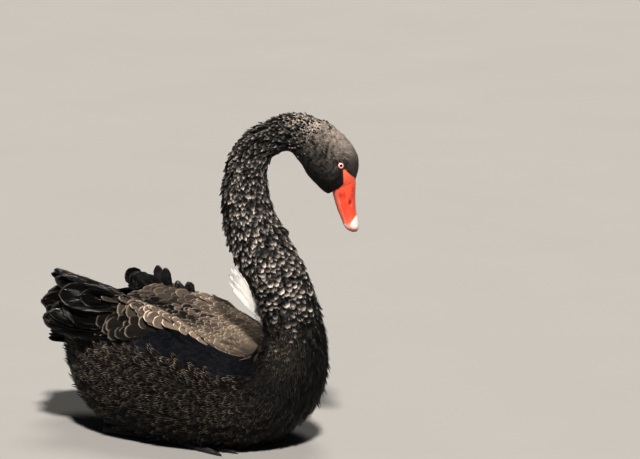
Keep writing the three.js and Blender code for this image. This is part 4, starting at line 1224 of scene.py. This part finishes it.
material = plumage(
    "breast_plumage",
    (colour(0.0050, 0.0038, 0.0030), colour(0.024, 0.019, 0.015)),
    (colour(0.235, 0.195, 0.162), colour(0.06, 0.05, 0.04)),
    fringe=(0.35, 1.15), rim=0.05, barbs=10.0, mottle=0.9, Roughness=0.40, Specular_IOR_Level=0.26,
)
flank_coat = coat("breast_feathers", shape, chosen(flank_places, keep), material, 11, variation=0.2)
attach(flank_coat, "root")

# Folded wings. Each a shell of skin and bone over the side of the back, from the wrist at the foot of
# the neck to behind the hips, its upper edge a sharp ridge that climbs to the rear, with rows of
# coverts set into its outer face: very fine near the wrist, broad and round at the rear.
WING = {"front": STATION["breast front"] - 0.15, "rear": STATION["loins"] + 0.1, "top": 17, "low": 63}
WRIST = {"top": 42, "low": 64, "length": 0.28}
RIDGE = {"angle": 26, "spread": 9.5, "front": 2, "rear": 18, "from": 0.46, "to": 0.84, "left": 0.1}
VALLEY = {"deep": 6.0, "wide": 14.0}
DRAPE = (
    (-0.2, 33), (0.0, 32), (0.14, 27), (0.28, 25), (0.62, 28),
    (0.69, 31), (0.75, 38), (0.8, 50), (0.86, 56), (1.0, 50),
)
WING_THICKNESS = (2.5, 4.0)
WING_RIM = {"from": 54.0, "sunk": 5.0, "past": 1.3}
WING_DEPTH = 2.6
WING_SHELL = {
    "steps": 60, "bands": 40, "from": 0.03, "under": 8.5, "front sunk": 4.5, "front long": 0.12,
}
WING_FACE_TO = 61.0
COVERT_SIZES = ((0, 4.6), (0.35, 6.5), (0.6, 12.0), (0.8, 18.0), (1.0, 24.0))
COVERTS = {
    # gaps, length and height as shares of a covert's width; the tilt, and how much less at the rear
    "row gap": 0.52, "gap": 0.78, "length": 1.45, "height": 0.12, "set": 0.6, "tilt": 7.0, "rear tilt": 2,
    "from": -0.10, "to": 0.92, "under drape": 5, "rear from": 0.72, "rear over": 0.2,
}


def wing_lift(t, angle, side):
    """How far the wing's outer face stands off the body; t runs from the wrist to the rear."""
    climb = ramp(t, RIDGE["from"], RIDGE["to"] - RIDGE["from"])
    ridge = RIDGE["front"] + (RIDGE["rear"] - RIDGE["front"]) * climb * climb * (3 - 2 * climb)
    across = hump(angle, RIDGE["angle"], RIDGE["spread"]) * (RIDGE["left"] if side == LEFT else 1)
    valley = VALLEY["deep"] * climb * hump(angle, 0, VALLEY["wide"])
    thin, thick = WING_THICKNESS
    flesh = thin + (thick - thin) * ramp(t, 0, WRIST["length"])
    edge = np.clip((angle - WING_RIM["from"]) / (WING["low"] - WING_RIM["from"]), 0, WING_RIM["past"])
    return flesh + ridge * across - valley - WING_RIM["sunk"] * edge**2


def wing_station(t):
    return WING["front"] + (WING["rear"] - WING["front"]) * t


def wing_of(side):
    """A wing's outer surface at t along it and at angles in degrees round the body."""
    def surface(t, angle, out=0.0):
        t, angle = np.broadcast_arrays(np.asarray(t, float), np.asarray(angle, float))
        return body(wing_station(t), side * np.radians(angle), wing_lift(t, angle, side) + out)
    return surface


def wing_edges(t):
    """The angles of a wing's upper and lower edges."""
    open_share = np.sin(ramp(t, 0, WRIST["length"]) * math.pi / 2)
    top = WRIST["top"] + (WING["top"] - WRIST["top"]) * open_share
    return top, WRIST["low"] + (WING["low"] - WRIST["low"]) * open_share


def slab_faces(rows, columns):
    """Faces of a closed slab between an upper and a lower grid of points, one listed after the other."""
    count = rows * columns
    faces = []
    for i in range(rows - 1):
        for k in range(columns - 1):
            a = i * columns + k
            quad = (a, a + 1, a + 1 + columns, a + columns)
            faces.append(quad)
            faces.append(tuple(index + count for index in reversed(quad)))
    border = list(range(columns)) + [i * columns + columns - 1 for i in range(1, rows)]
    border += [(rows - 1) * columns + k for k in range(columns - 2, -1, -1)]
    border += [i * columns for i in range(rows - 2, 0, -1)]
    for a, b in zip(border, border[1:] + border[:1]):
        faces.append((b, a, a + count, b + count))
    return faces


def shell_between(name, side, t, angle, over_out, under_out):
    """A closed shell over a grid of angles at t along the wing, from so far out of the wing's outer
    face down to so far out of the body."""
    t_grid = np.broadcast_to(t[:, None], angle.shape)
    over = wing_of(side)(t_grid, angle, over_out).reshape(-1, 3)
    under = body(wing_station(t_grid), side * np.radians(angle), under_out).reshape(-1, 3)
    return facing_out(mesh_piece(name, np.concatenate([over, under]), slab_faces(*angle.shape)))


def wing_shell(name, side):
    t = np.linspace(WING_SHELL["from"], 1, WING_SHELL["steps"])
    top, low = wing_edges(t)
    angle = top[:, None] + (low - top)[:, None] * np.linspace(0, 1, WING_SHELL["bands"])[None]
    front_sunk = WING_SHELL["front sunk"] * hump(t[:, None], 0, WING_SHELL["front long"])
    return shell_between(name, side, t, angle, -WING_DEPTH - front_sunk, -WING_SHELL["under"])


def wing_uv(t, angle):
    return np.stack([np.clip(t, 0, 1), np.clip(angle / 90, 0, 1)], -1)


def drape_edge(t):
    """The angle down to which the shoulder feathers hang over the wing's outer face."""
    return np.interp(t, *zip(*DRAPE))


def covert_size(t):
    """The width of a covert at t along the wing."""
    return np.interp(t, *zip(*COVERT_SIZES))


shell_material, tree, shader = new_material("wing_skin", Roughness=0.6)
cloud = noise(tree, 80.0)
tree.links.new(between(tree, cloud, PLUMAGE_BLACK, PLUMAGE_BROWN), shader.inputs["Base Color"])
tree.links.new(bump(tree, noise(tree, 900.0), 0.0006), shader.inputs["Normal"])
# The front pair is the coverts' own black with a blue tint, a painted reflection of the sky on the shaded
# outer face; the rear pair is browner.
covert_material = plumage(
    "coverts",
    (colour(0.0034, 0.0040, 0.0062), colour(0.008, 0.007, 0.0065)),
    (colour(0.0105, 0.0125, 0.018), colour(0.075, 0.066, 0.058)),
    fringe=(0.70, 1.05), rim=0.7, barbs=30.0, shaft=0.3, mottle=0.4, Roughness=0.5, Specular_IOR_Level=0.16,
)
covert_shape = feather_shape("covert", 6, 8, rounded(0.62, 0.55, 0.18), 0.6, 0.5)
for side_name, side in SIDES.items():
    shell = wing_shell(f"wing_{side_name}_shell", side)
    shell.data.materials.append(shell_material)
    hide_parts(f"wing_{side_name}")
    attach(shell, "root")
    draw = np.random.default_rng(60 + side)
    surface = wing_of(side)
    places = rows_on(
        surface, (COVERTS["from"], COVERTS["to"]),
        lambda t: (drape_edge(t) - COVERTS["under drape"], WING_FACE_TO),
        lambda t: covert_size(t) * COVERTS["row gap"], lambda t: covert_size(t) * COVERTS["gap"], draw,
    )
    wide = covert_size(places[:, 0])
    rear = ramp(places[:, 0], COVERTS["rear from"], COVERTS["rear over"])
    found = feathers_at(
        surface, places, draw, 1, WING_DEPTH * COVERTS["set"], COVERTS["tilt"] - COVERTS["rear tilt"] * rear,
        (wide, wide * COVERTS["length"], wide * COVERTS["height"]), shade=rear, yaw=5.0, uv_of=wing_uv,
    )
    made = coat(f"wing_{side_name}_coverts", covert_shape, found, covert_material, 70 + side)
    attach(made, "root")

# Mantle and scapulars. Brown-grey shoulder feathers with pale fringes, in close rows across the back
# from the neck to the ridges of the wings, growing to broad round feathers over the rump.
MANTLE = {"front": -0.2, "rear": 1.04, "inner": -1.0, "veer": 26.0, "proud": 3.0, "set": 0.7, "tilt": 9.0}
MANTLE_SHELL = {"steps": 60, "bands": 30, "from": 0.02, "down to": 32.0, "share": 0.98, "under": 7.5}
MANTLE_SIZES = ((0, 7.6), (0.3, 10.4), (0.6, 14.6), (0.85, 20.0), (1.05, 26.0))
MANTLE_SHAPES = {
    # shares of a feather's size, or degrees, where they are narrow, and how much more where broad
    "row gap": (0.66, -0.3), "gap": (0.39, 0.31), "width": (1.0, 0.15), "length": (1.9, -0.5),
    "yaw": (4.0, 5.0), "loose": (0.5, 0.7), "lean": (-9.0, 9.0),
}
MANTLE_THICK = 0.12
MANTLE_BROADENS = {"from": 0.3, "over": 0.35}
MANTLE_VEERS = {"from": 0.3, "over": 0.3}
OVER_RIDGE = 10


def mantle_size(t):
    return np.interp(t, *zip(*MANTLE_SIZES))


def mantle_shape_of(key, t):
    """A value that changes from the long narrow shoulder feathers near the neck to the broad ones."""
    narrow, more = MANTLE_SHAPES[key]
    return narrow + more * ramp(t, MANTLE_BROADENS["from"], MANTLE_BROADENS["over"])


def mantle_shell(name, side):
    """The back's skin raised under the shoulder feathers, closed below against the body."""
    t = np.linspace(MANTLE_SHELL["from"], 1.0, MANTLE_SHELL["steps"])
    low = np.minimum(drape_edge(t), MANTLE_SHELL["down to"])
    angle = low[:, None] * np.linspace(0, MANTLE_SHELL["share"], MANTLE_SHELL["bands"])[None]
    return shell_between(name, side, t, angle, -WING_DEPTH, -MANTLE_SHELL["under"])


# The ridge entry with CREST paints a highlight along the crest of the wing's ridge, weaker on the left; the
# valley entry with BACK_DIP paints shade in the dip between the wings; the rear entry darkens the rear ones.
MANTLE_TONE_AND_PAINTED_LIGHT = {"ridge": 2.6, "left ridge": 0.6, "valley": -0.6, "rear": -1.0}
CREST = {"angle": RIDGE["angle"] - 1, "wide": 11, "at": 0.7, "long": 0.2}
BACK_DIP = {"angle": 6, "wide": 7, "at": 0.82, "long": 0.14}
REAR_DARK = {"from": 0.74, "over": 0.15}
REAR_GROUND = {"from": 0.4, "over": 0.3, "less on crest": 0.45}
HANGING_GROUND = {"past ridge": 3, "wide": 5, "from": 0.45, "over": 0.12}
# The left wing's shoulder feathers keep only this share of the dark ground: painted light on the far side of
# the back.
FAR_SIDE_PAINTED_LIGHT = 0.35


def mantle_tone_and_painted_light(t, angle, side):
    """How much paler than the rest the shoulder feathers are: a painted highlight along the ridge of the
    wing, weaker on the left, painted shade in the valley between the wings, and darker where they hang over
    the wing's rear."""
    ridge = hump(angle, CREST["angle"], CREST["wide"]) * hump(t, CREST["at"], CREST["long"])
    ridge *= MANTLE_TONE_AND_PAINTED_LIGHT["left ridge"] if side == LEFT else 1
    valley = hump(angle, BACK_DIP["angle"], BACK_DIP["wide"]) * hump(t, BACK_DIP["at"], BACK_DIP["long"])
    rear = ramp(t, REAR_DARK["from"], REAR_DARK["over"])
    return MANTLE_TONE_AND_PAINTED_LIGHT["ridge"] * ridge + MANTLE_TONE_AND_PAINTED_LIGHT["valley"] * valley + MANTLE_TONE_AND_PAINTED_LIGHT["rear"] * rear


def mantle_shade(t, angle, side):
    """How far a shoulder feather has the dark ground of the rear ones and of those that hang over the wing's
    outer face; less of it along the crest of the ridge and on the left wing, as painted light."""
    hanging = ramp(angle - RIDGE["angle"], HANGING_GROUND["past ridge"], HANGING_GROUND["wide"])
    hanging = hanging * ramp(t, HANGING_GROUND["from"], HANGING_GROUND["over"])
    crest = REAR_GROUND["less on crest"] * hump(angle, CREST["angle"], CREST["wide"])
    rear = ramp(t, REAR_GROUND["from"], REAR_GROUND["over"]) * (1 - crest)
    return np.maximum(rear, hanging) * (FAR_SIDE_PAINTED_LIGHT if side == LEFT else 1)


mantle_material = plumage(
    "mantle",
    (colour(0.112, 0.0912, 0.0740), colour(0.0100, 0.0083, 0.0069)),
    (colour(0.300, 0.252, 0.207), colour(0.215, 0.187, 0.162)),
    fringe=(0.72, 1.1), rim=0.6, barbs=26.0, shaft=0.1, mottle=0.22, Roughness=0.6, Specular_IOR_Level=0.1,
)
UNDER_DARK = colour(0.02, 0.017, 0.015)
UNDER_BROWN = colour(0.04, 0.034, 0.03)
under_material, tree, shader = new_material("mantle_skin", Roughness=0.7)
cloud = noise(tree, 80.0)
tree.links.new(between(tree, cloud, UNDER_DARK, UNDER_BROWN), shader.inputs["Base Color"])
tree.links.new(bump(tree, noise(tree, 900.0), 0.0006), shader.inputs["Normal"])
mantle_shape = feather_shape("mantle_feather", 6, 8, rounded(0.75, 0.68, 0.45), 0.3, 0.35)
for side_name, side in SIDES.items():
    shell = mantle_shell(f"scapulars_{side_name}_shell", side)
    shell.data.materials.append(under_material)
    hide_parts(f"scapulars_{side_name}")
    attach(shell, "root")
    draw = np.random.default_rng(80 + side)
    surface = wing_of(side)
    places = rows_on(
        surface, (MANTLE["front"], MANTLE["rear"]), lambda t: (MANTLE["inner"], drape_edge(t)),
        lambda t: mantle_size(t) * mantle_shape_of("row gap", t),
        lambda t: mantle_size(t) * mantle_shape_of("gap", t), draw, ragged=0.2,
    )
    t, angle = places.T
    wide = mantle_size(t)
    over = ramp(angle, RIDGE["angle"], OVER_RIDGE)
    veering = ramp(t, MANTLE_VEERS["from"], MANTLE_VEERS["over"])
    tone = draw.uniform(0, 1, len(places)) + mantle_tone_and_painted_light(t, angle, side)
    found = feathers_at(
        surface, places, draw, 1, WING_DEPTH * MANTLE["set"] - MANTLE["proud"] * over, MANTLE["tilt"],
        (wide * mantle_shape_of("width", t), wide * mantle_shape_of("length", t), wide * MANTLE_THICK),
        tone=tone, shade=mantle_shade(t, angle, side), yaw=mantle_shape_of("yaw", t),
        veer=MANTLE["veer"] * over * veering, loose=mantle_shape_of("loose", t),
        lean=mantle_shape_of("lean", t), uv_of=wing_uv,
    )
    made = coat(
        f"scapulars_{side_name}_feathers", mantle_shape, found, mantle_material, 90 + side, variation=0.08,
    )
    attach(made, "root")

# Flight feathers of the folded wings. Stiff vanes of horn set in rows into the rear of each wing:
# secondaries laid back along the flank, long tertials over them, and inside those the tertials whose
# broad black vanes curl right up.
VANE_SIDE_STEPS, VANE_STEPS = 8, 18
VANE_RAGGED = {"more": 0.03, "along": 31, "phase": 3}
VANE_RIPPLE = {"along": 7, "across": 2}
VANE_EDGE = {"tip thinner": 0.75, "side thinner": 0.8, "least": 0.18}


class Vanes:
    """Large feathers gathered into one mesh."""

    def __init__(self):
        self.points, self.faces, self.uv, self.tone, self.shade = [], [], [], [], []

    def add(
        self, root, heading, face, length, width, draw, bend=0.0, twist=0.0, cup=0.12, thick=0.8,
        share=rounded(0.4, 0.62, 0.12), shade=0.0, sweep=0.0, wave=0.0,
    ):
        """One vane from its root along heading, its upper face towards face. By its tip it has bent up
        by bend degrees, turned about its shaft by twist and swept sideways by sweep; wave is how high
        its sides ripple."""
        heading, root = unit(np.asarray(heading, float)), np.asarray(root, float)
        across = unit(np.cross(heading, np.asarray(face, float)))
        normal = np.cross(across, heading)
        over, under, uv = [], [], []
        spine = root.copy()
        phase = draw.uniform(0, math.tau)
        for i in range(VANE_STEPS + 1):
            t = i / VANE_STEPS
            lift, turn, roll = (math.radians(value) * t * t for value in (bend, sweep, twist))
            shaft = heading * math.cos(lift) + normal * math.sin(lift)
            up = normal * math.cos(lift) - heading * math.sin(lift)
            shaft = shaft * math.cos(turn) + across * math.sin(turn)
            side = np.cross(shaft, up)
            side = side * math.cos(roll) + up * math.sin(roll)
            top = unit(np.cross(side, shaft))
            if i:
                spine = spine + shaft * length / VANE_STEPS
            half = width / 2 * share(t)
            for k in np.linspace(-1, 1, VANE_SIDE_STEPS + 1):
                ripple = VANE_RIPPLE["along"] * t + phase + VANE_RIPPLE["across"] * k
                ripple = wave * math.sin(ripple) * abs(k)
                ragged = math.sin(VANE_RAGGED["along"] * t + phase * VANE_RAGGED["phase"] + k)
                ragged = 1 + VANE_RAGGED["more"] * ragged
                at = spine + side * k * half * ragged - top * (cup * half * k * k - ripple)
                thinner = (1 - VANE_EDGE["tip thinner"] * t) * (1 - VANE_EDGE["side thinner"] * abs(k))
                depth = thick * thinner + VANE_EDGE["least"]
                over.append(at)
                under.append(at - top * depth)
                uv.append(((k + 1) / 2, t))
        start = sum(len(part) for part in self.points)
        self.points.append(np.array(over + under))
        faces = slab_faces(VANE_STEPS + 1, VANE_SIDE_STEPS + 1)
        self.faces.extend(tuple(index + start for index in quad) for quad in faces)
        self.uv.extend(uv + uv)
        count = len(over) * 2
        self.tone.append(np.full(count, draw.uniform(0, 1)))
        self.shade.append(np.full(count, shade))

    def piece(self, name, material):
        """The gathered vanes as one object of a material."""
        points = np.concatenate(self.points)
        points[:, 2] = np.maximum(points[:, 2], LOWEST)
        values = {"tone": np.concatenate(self.tone), "shade": np.concatenate(self.shade)}
        made = facing_out(mesh_piece(name, points, self.faces, {"vane": self.uv}, values))
        made.data.materials.append(material)
        return made


WING_ROWS = {
    # count, t, upper and lower angle, inward, rise, length, width, bend, cup, shade
    "long coverts": (9, 0.86, 30, 62, 0.16, 0.0, 62, 30, -8, 0.15, 0.9),
    "outer secondaries": (7, 0.95, 44, 68, 0.24, -0.03, 96, 28, 2, 0.12, 0.15),
    "secondaries": (9, 0.97, 32, 64, 0.26, 0.0, 100, 32, 8, 0.12, 0.1),
    "long tertials": (10, 0.95, 22, 52, 0.08, 0.0, 128, 40, 27, -0.2, 0.0),
    "tertials": (9, 0.96, 21, 44, 0.02, 0.02, 96, 40, 26, -0.25, 0.0),
    "curled tertials": (7, 0.99, 20, 34, 0.0, 0.0, 62, 30, 34, -0.3, 0.0),
}
FAR_ROWS = {
    # the left wing's tertials: where they are rooted, rise, share of the length, bend, inward
    "long tertials": (0.96, -0.10, 1.02, 0, 0.3),
    "tertials": (0.95, -0.06, 0.8, 4, 0.2),
    "curled tertials": (0.94, 0.0, 0.7, 20, 0.1),
}
FAR_LOBES = (
    # the left wing's curled-up tertials: how many, root x, z, heading x, z, length, width, apart, shade
    (5, -114, 180, -0.72, 0.60, 42, 27, 6, 0.0),
    (2, -90, 184, -0.24, 0.95, 41, 14, 19, 0.5),
    (4, -56, 182, -0.34, 0.88, 24, 11, 6, 0.9),
)
LOBE_Y, LOBE_FACE = 58.0, (0.5, -0.75, 0.4)
VANE_LAYER, VANE_SUNK, TOP_LONGER = 0.45, 4.0, 0.12
VANE_STRAY = {
    # how far single vanes stray: degrees, parts of the heading, or shares of their own size and bend
    "angle": 1.2, "across": 0.035, "rise": 0.02, "length": 0.05, "width": 0.06, "bend": 0.2, "sweep": 10,
}
CURLED, FLAT = {"twist": 11, "wave": 1.7}, {"twist": 8, "wave": 0.6}
LOBE_STRAY = {"y": 3, "z": 1.5, "ahead": 0.06, "across": 0.1, "twist": 12, "sweep": 8}
LOBE_BEND, LOBE_CUP, LOBE_WAVE = -12, 0.3, 0.8
LOBE_SHAPE, LOBE_LENGTHS = rounded(0.75, 0.7, 0.3), (0.9, 1.05)
# The first pair's faint pale rims are a painted highlight along the vanes' curled edges.
flight_material = plumage(
    "flight_plumage",
    (colour(0.0024, 0.0021, 0.0020), colour(0.011, 0.0092, 0.0080)),
    (colour(0.058, 0.053, 0.050), colour(0.120, 0.104, 0.090)),
    fringe=(0.94, 1.06), rim=0.6, barbs=60.0, shaft=0.2, mottle=0.3, barb_height=0.0001,
    Roughness=0.2, Specular_IOR_Level=0.4,
)
for side_name, side in SIDES.items():
    draw = np.random.default_rng(120 + side)
    surface = wing_of(side)
    vanes = Vanes()
    for name, (count, t, top, low, inward, rise, length, width, bend, cup, shade) in WING_ROWS.items():
        if side == LEFT and name in FAR_ROWS:
            t, rise, shorter, bend, inward = FAR_ROWS[name]
            length *= shorter
        loose = CURLED if cup < 0 else FLAT
        for i in range(count):
            angle = low + (top - low) * i / (count - 1) + VANE_STRAY["angle"] * draw.normal()
            longer = 1 + TOP_LONGER * (i / (count - 1)) ** 2 * (side == RIGHT) * (cup < 0)
            place = (np.array([t]), np.array([angle]), VANE_LAYER * i - VANE_SUNK)
            across = -side * inward + VANE_STRAY["across"] * draw.normal()
            heading = (-1.0, across, rise + VANE_STRAY["rise"] * draw.normal())
            vanes.add(
                surface(*place)[0], heading, facing(surface, *place)[0][0],
                length * longer * (1 + VANE_STRAY["length"] * draw.normal()),
                width * (1 + VANE_STRAY["width"] * draw.normal()), draw,
                bend=bend * (1 + VANE_STRAY["bend"] * draw.uniform(-1, 1)),
                twist=loose["twist"] * draw.uniform(-1, 1), cup=cup, shade=shade,
                sweep=VANE_STRAY["sweep"] * draw.uniform(-1, 1), wave=loose["wave"],
            )
    for count, x, z, ahead, rise, length, width, apart, shade in FAR_LOBES if side == LEFT else ():
        for i in range(count):
            y = LOBE_Y + LOBE_STRAY["y"] * draw.normal()
            root = (x - apart * i, y, z + LOBE_STRAY["z"] * draw.normal())
            onward = ahead + LOBE_STRAY["ahead"] * draw.normal()
            vanes.add(
                root, (onward, LOBE_STRAY["across"] * draw.normal(), rise), LOBE_FACE,
                length * draw.uniform(*LOBE_LENGTHS), width, draw,
                bend=LOBE_BEND, twist=LOBE_STRAY["twist"] * draw.uniform(-1, 1), cup=LOBE_CUP, shade=shade,
                share=LOBE_SHAPE, sweep=LOBE_STRAY["sweep"] * draw.uniform(-1, 1), wave=LOBE_WAVE,
            )
    made = vanes.piece(f"wing_{side_name}_flight", flight_material)
    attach(made, "root")

# Primaries. The long white flight feathers of each wing's hand, laid back under the tertials so that
# only their tips come out over the tail.
PRIMARIES = {
    "count": 6, "root": (-100.0, 76.0, 174.0), "next": (-3.0, -4.0, 1.8), "length": 128.0, "shorter": 0.06,
    "width": 19.0, "inward": -0.38, "fan": 0.03, "slope": -0.08, "face": (0.05, 0.35, 1),
    "twist": 3, "cup": 0.1,
}
white_material = plumage(
    "white_plumage",
    (colour(0.90, 0.89, 0.87), colour(0.8, 0.78, 0.74)),
    (colour(0.95, 0.94, 0.92), colour(0.9, 0.89, 0.86)),
    fringe=(0.8, 1.1), barbs=60.0, shaft=-0.08, mottle=0.05, Roughness=0.5, Sheen_Weight=0.15,
)
for side_name, side in SIDES.items():
    draw = np.random.default_rng(140 + side)
    vanes = Vanes()
    for i in range(PRIMARIES["count"]):
        mirror = np.array([1, side, 1])
        root = mirror * (np.array(PRIMARIES["root"]) + np.array(PRIMARIES["next"]) * i)
        heading = mirror * (-1, PRIMARIES["inward"] + PRIMARIES["fan"] * i, PRIMARIES["slope"])
        vanes.add(
            root, heading, mirror * PRIMARIES["face"], PRIMARIES["length"] * (1 - PRIMARIES["shorter"] * i),
            PRIMARIES["width"], draw, twist=PRIMARIES["twist"], cup=PRIMARIES["cup"],
        )
    made = vanes.piece(f"primaries_{side_name}_vanes", white_material)
    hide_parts(f"primaries_{side_name}")
    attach(made, "root")

# Tail. A short fan of stiff black feathers that grow from the stern, one row over another: here three
# tiers of vanes with their roots in the skin, each tier shorter and set higher than the one below.
TAIL = {
    "root": (-158.0, 0.0, 130.0), "half": 16, "arched": 5, "spread": 24.0, "length": 92.0, "width": 26.0,
    "outer shorter": 0.1, "face": 0.35, "bend": 3, "twist": 5, "cup": 0.1, "shade": 0.25,
}
TAIL_TIERS = (
    # how many, how high, share of the length, slope
    (11, 0.0, 1.0, -0.03),
    (8, 5.0, 0.78, -0.02),
    (7, 9.0, 0.6, -0.01),
)
draw = np.random.default_rng(160)
vanes = Vanes()
for count, lift, share, slope in TAIL_TIERS:
    for i in range(count):
        across = 2 * i / (count - 1) - 1
        turn = math.radians(TAIL["spread"] * across)
        root = np.array(TAIL["root"]) + (0, TAIL["half"] * across, lift - TAIL["arched"] * across**2)
        length = TAIL["length"] * share * (1 - TAIL["outer shorter"] * across**2)
        vanes.add(
            root, (-math.cos(turn), math.sin(turn), slope), (0, TAIL["face"] * across, 1), length,
            TAIL["width"], draw, bend=TAIL["bend"] * draw.normal(), twist=TAIL["twist"] * draw.normal(),
            cup=TAIL["cup"], shade=TAIL["shade"],
        )
tail = vanes.piece("tail_vanes", flight_material)
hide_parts("tail")
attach(tail, "root")

# Wrist tuft. Loose white feathers that have slipped from the left wing's wrist and stand up beside the
# neck, narrow at the foot and frayed into a fan at their tips.
TUFT = {
    "count": 36, "root": (89.0, 61.0, 139.0), "half": 2.5, "heading": (-0.6, -0.05, 0.8), "fan": 0.045,
    "stray": 0.016, "face": (0.67, -0.49, 0.47), "face stray": 0.3, "length": 105.0, "uneven": 0.09,
    "outer shorter": 0.12, "width": 6.0, "bend": 5, "twist": 14, "sweep": 6, "cup": 0.15, "thick": 0.5,
    "wave": 0.6,
}
TUFT_SHAPE = rounded(0.45, 0.7, 0.05)
draw = np.random.default_rng(180)
vanes = Vanes()
for i in range(TUFT["count"]):
    across = 2 * i / (TUFT["count"] - 1) - 1
    heading = np.array(TUFT["heading"]) + TUFT["fan"] * across + TUFT["stray"] * draw.normal(size=3)
    root = np.array(TUFT["root"]) + (TUFT["half"] * across, TUFT["half"] * across, 0)
    face = np.array(TUFT["face"]) + (0, TUFT["face stray"] * draw.normal(), 0)
    length = 1 - TUFT["outer shorter"] * abs(across) + TUFT["uneven"] * draw.normal()
    vanes.add(
        root, heading, face, TUFT["length"] * length, TUFT["width"], draw,
        bend=TUFT["bend"] * draw.normal(), twist=TUFT["twist"] * draw.normal(), cup=TUFT["cup"],
        thick=TUFT["thick"], share=TUFT_SHAPE, sweep=TUFT["sweep"] * draw.normal(), wave=TUFT["wave"],
    )
tuft = vanes.piece("wing_tuft_left_vanes", white_material)
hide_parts("wing_tuft_left")
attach(tuft, "root")

# Floor. A plain pale floor for the model to rest on in the picture, one flat sheet wide enough to fill
# the view. It isn't part of the model.
FLOOR_HALF = 14.0
FLOOR_DARK = colour(0.192, 0.189, 0.186)
FLOOR_PALE = colour(0.204, 0.201, 0.198)
corners = FLOOR_HALF * np.array([(-1, -1, 0), (1, -1, 0), (1, 1, 0), (-1, 1, 0)])
floor = mesh_piece("floor", corners / MM, [(0, 1, 2, 3)])
material, tree, shader = new_material("floor", Roughness=0.75, Specular_IOR_Level=0.2)
tree.links.new(between(tree, noise(tree, 3.0), FLOOR_DARK, FLOOR_PALE), shader.inputs["Base Color"])
floor.data.materials.append(material)

# Light and camera. One bright key from high up on the camera's side, a soft weak one from above and
# behind, a narrow beam on the white tuft, a weak panel to fill their shadows, and a plain room; a long
# lens from the bird's right, a little ahead.
LIGHTS = {
    # kind, place, what it shines at, size (metres, or radians across for the sun), strength
    "key": ("SUN", (1.4, -1.6, 2.7), (0, 0, 0.2), 0.10, 11.5),
    "back": ("SUN", (-0.4, 1.2, 3.2), (0, 0, 0.2), 0.4, 2.2),
    "tuft": ("SPOT", (0.27, -1.20, 1.72), (0.035, 0.056, 0.185), 0.05, 430.0),
    "fill": ("AREA", (2.6, -2.2, 1.2), (0, 0, 0.2), 2.4, 4.0),
}
TUFT_BEAM = 0.06
KEY_COLOUR = (1.0, 0.96, 0.90)
ROOM_LIGHT = (0.80, 0.87, 1.0)
ROOM_STRENGTH = 0.08
VIEW_GAMMA = 0.72
for name, (kind, place, target, size, strength) in LIGHTS.items():
    data = bpy.data.lights.new(name, kind)
    data.energy = strength
    data.color = KEY_COLOUR
    if kind == "SUN":
        data.angle = size
    elif kind == "SPOT":
        data.shadow_soft_size = size
        data.spot_size, data.spot_blend = TUFT_BEAM, 1.0
    else:
        data.size = size
    lamp = bpy.data.objects.new(name, data)
    lamp.location = place
    lamp.rotation_euler = (Vector(target) - lamp.location).to_track_quat("-Z", "Y").to_euler()
    bpy.context.scene.collection.objects.link(lamp)
world = bpy.data.worlds.new("room")
world.use_nodes = True
background = world.node_tree.nodes["Background"]
background.inputs["Color"].default_value = (*ROOM_LIGHT, 1.0)
background.inputs["Strength"].default_value = ROOM_STRENGTH
bpy.context.scene.world = world
view = bpy.context.scene.view_settings
view.view_transform = "Standard"
view.gamma = VIEW_GAMMA

PHOTO = (640, 459)
AZIMUTH, ELEVATION = math.radians(34), math.radians(11)
LENS, SENSOR = 200.0, 36.0
MM_PER_PIXEL = 1.42
ANCHOR, ANCHOR_PIXEL = np.array([0.0, 0.0, 80.0]), (200.0, 379.0)
back = np.array([
    math.sin(AZIMUTH) * math.cos(ELEVATION), -math.cos(AZIMUTH) * math.cos(ELEVATION), math.sin(ELEVATION),
])
right = np.array([math.cos(AZIMUTH), math.sin(AZIMUTH), 0.0])
up = np.cross(back, right)
aim = ANCHOR - (ANCHOR_PIXEL[0] - PHOTO[0] / 2) * MM_PER_PIXEL * right
aim = aim + (ANCHOR_PIXEL[1] - PHOTO[1] / 2) * MM_PER_PIXEL * up
distance = MM_PER_PIXEL * PHOTO[0] * LENS / SENSOR
lens = bpy.data.cameras.new("camera")
lens.lens, lens.sensor_width = LENS, SENSOR
lens.clip_start, lens.clip_end = 0.1, 100.0
camera = bpy.data.objects.new("camera", lens)
camera.location = Vector((aim + back * distance) * MM)
camera.rotation_mode = "QUATERNION"
camera.rotation_quaternion = Vector(-back).to_track_quat("-Z", "Y")
bpy.context.scene.collection.objects.link(camera)
bpy.context.scene.camera = camera

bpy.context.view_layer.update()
left_over = sorted(name for name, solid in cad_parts.items() if not solid.hide_render)
print("solids still shown:", left_over)
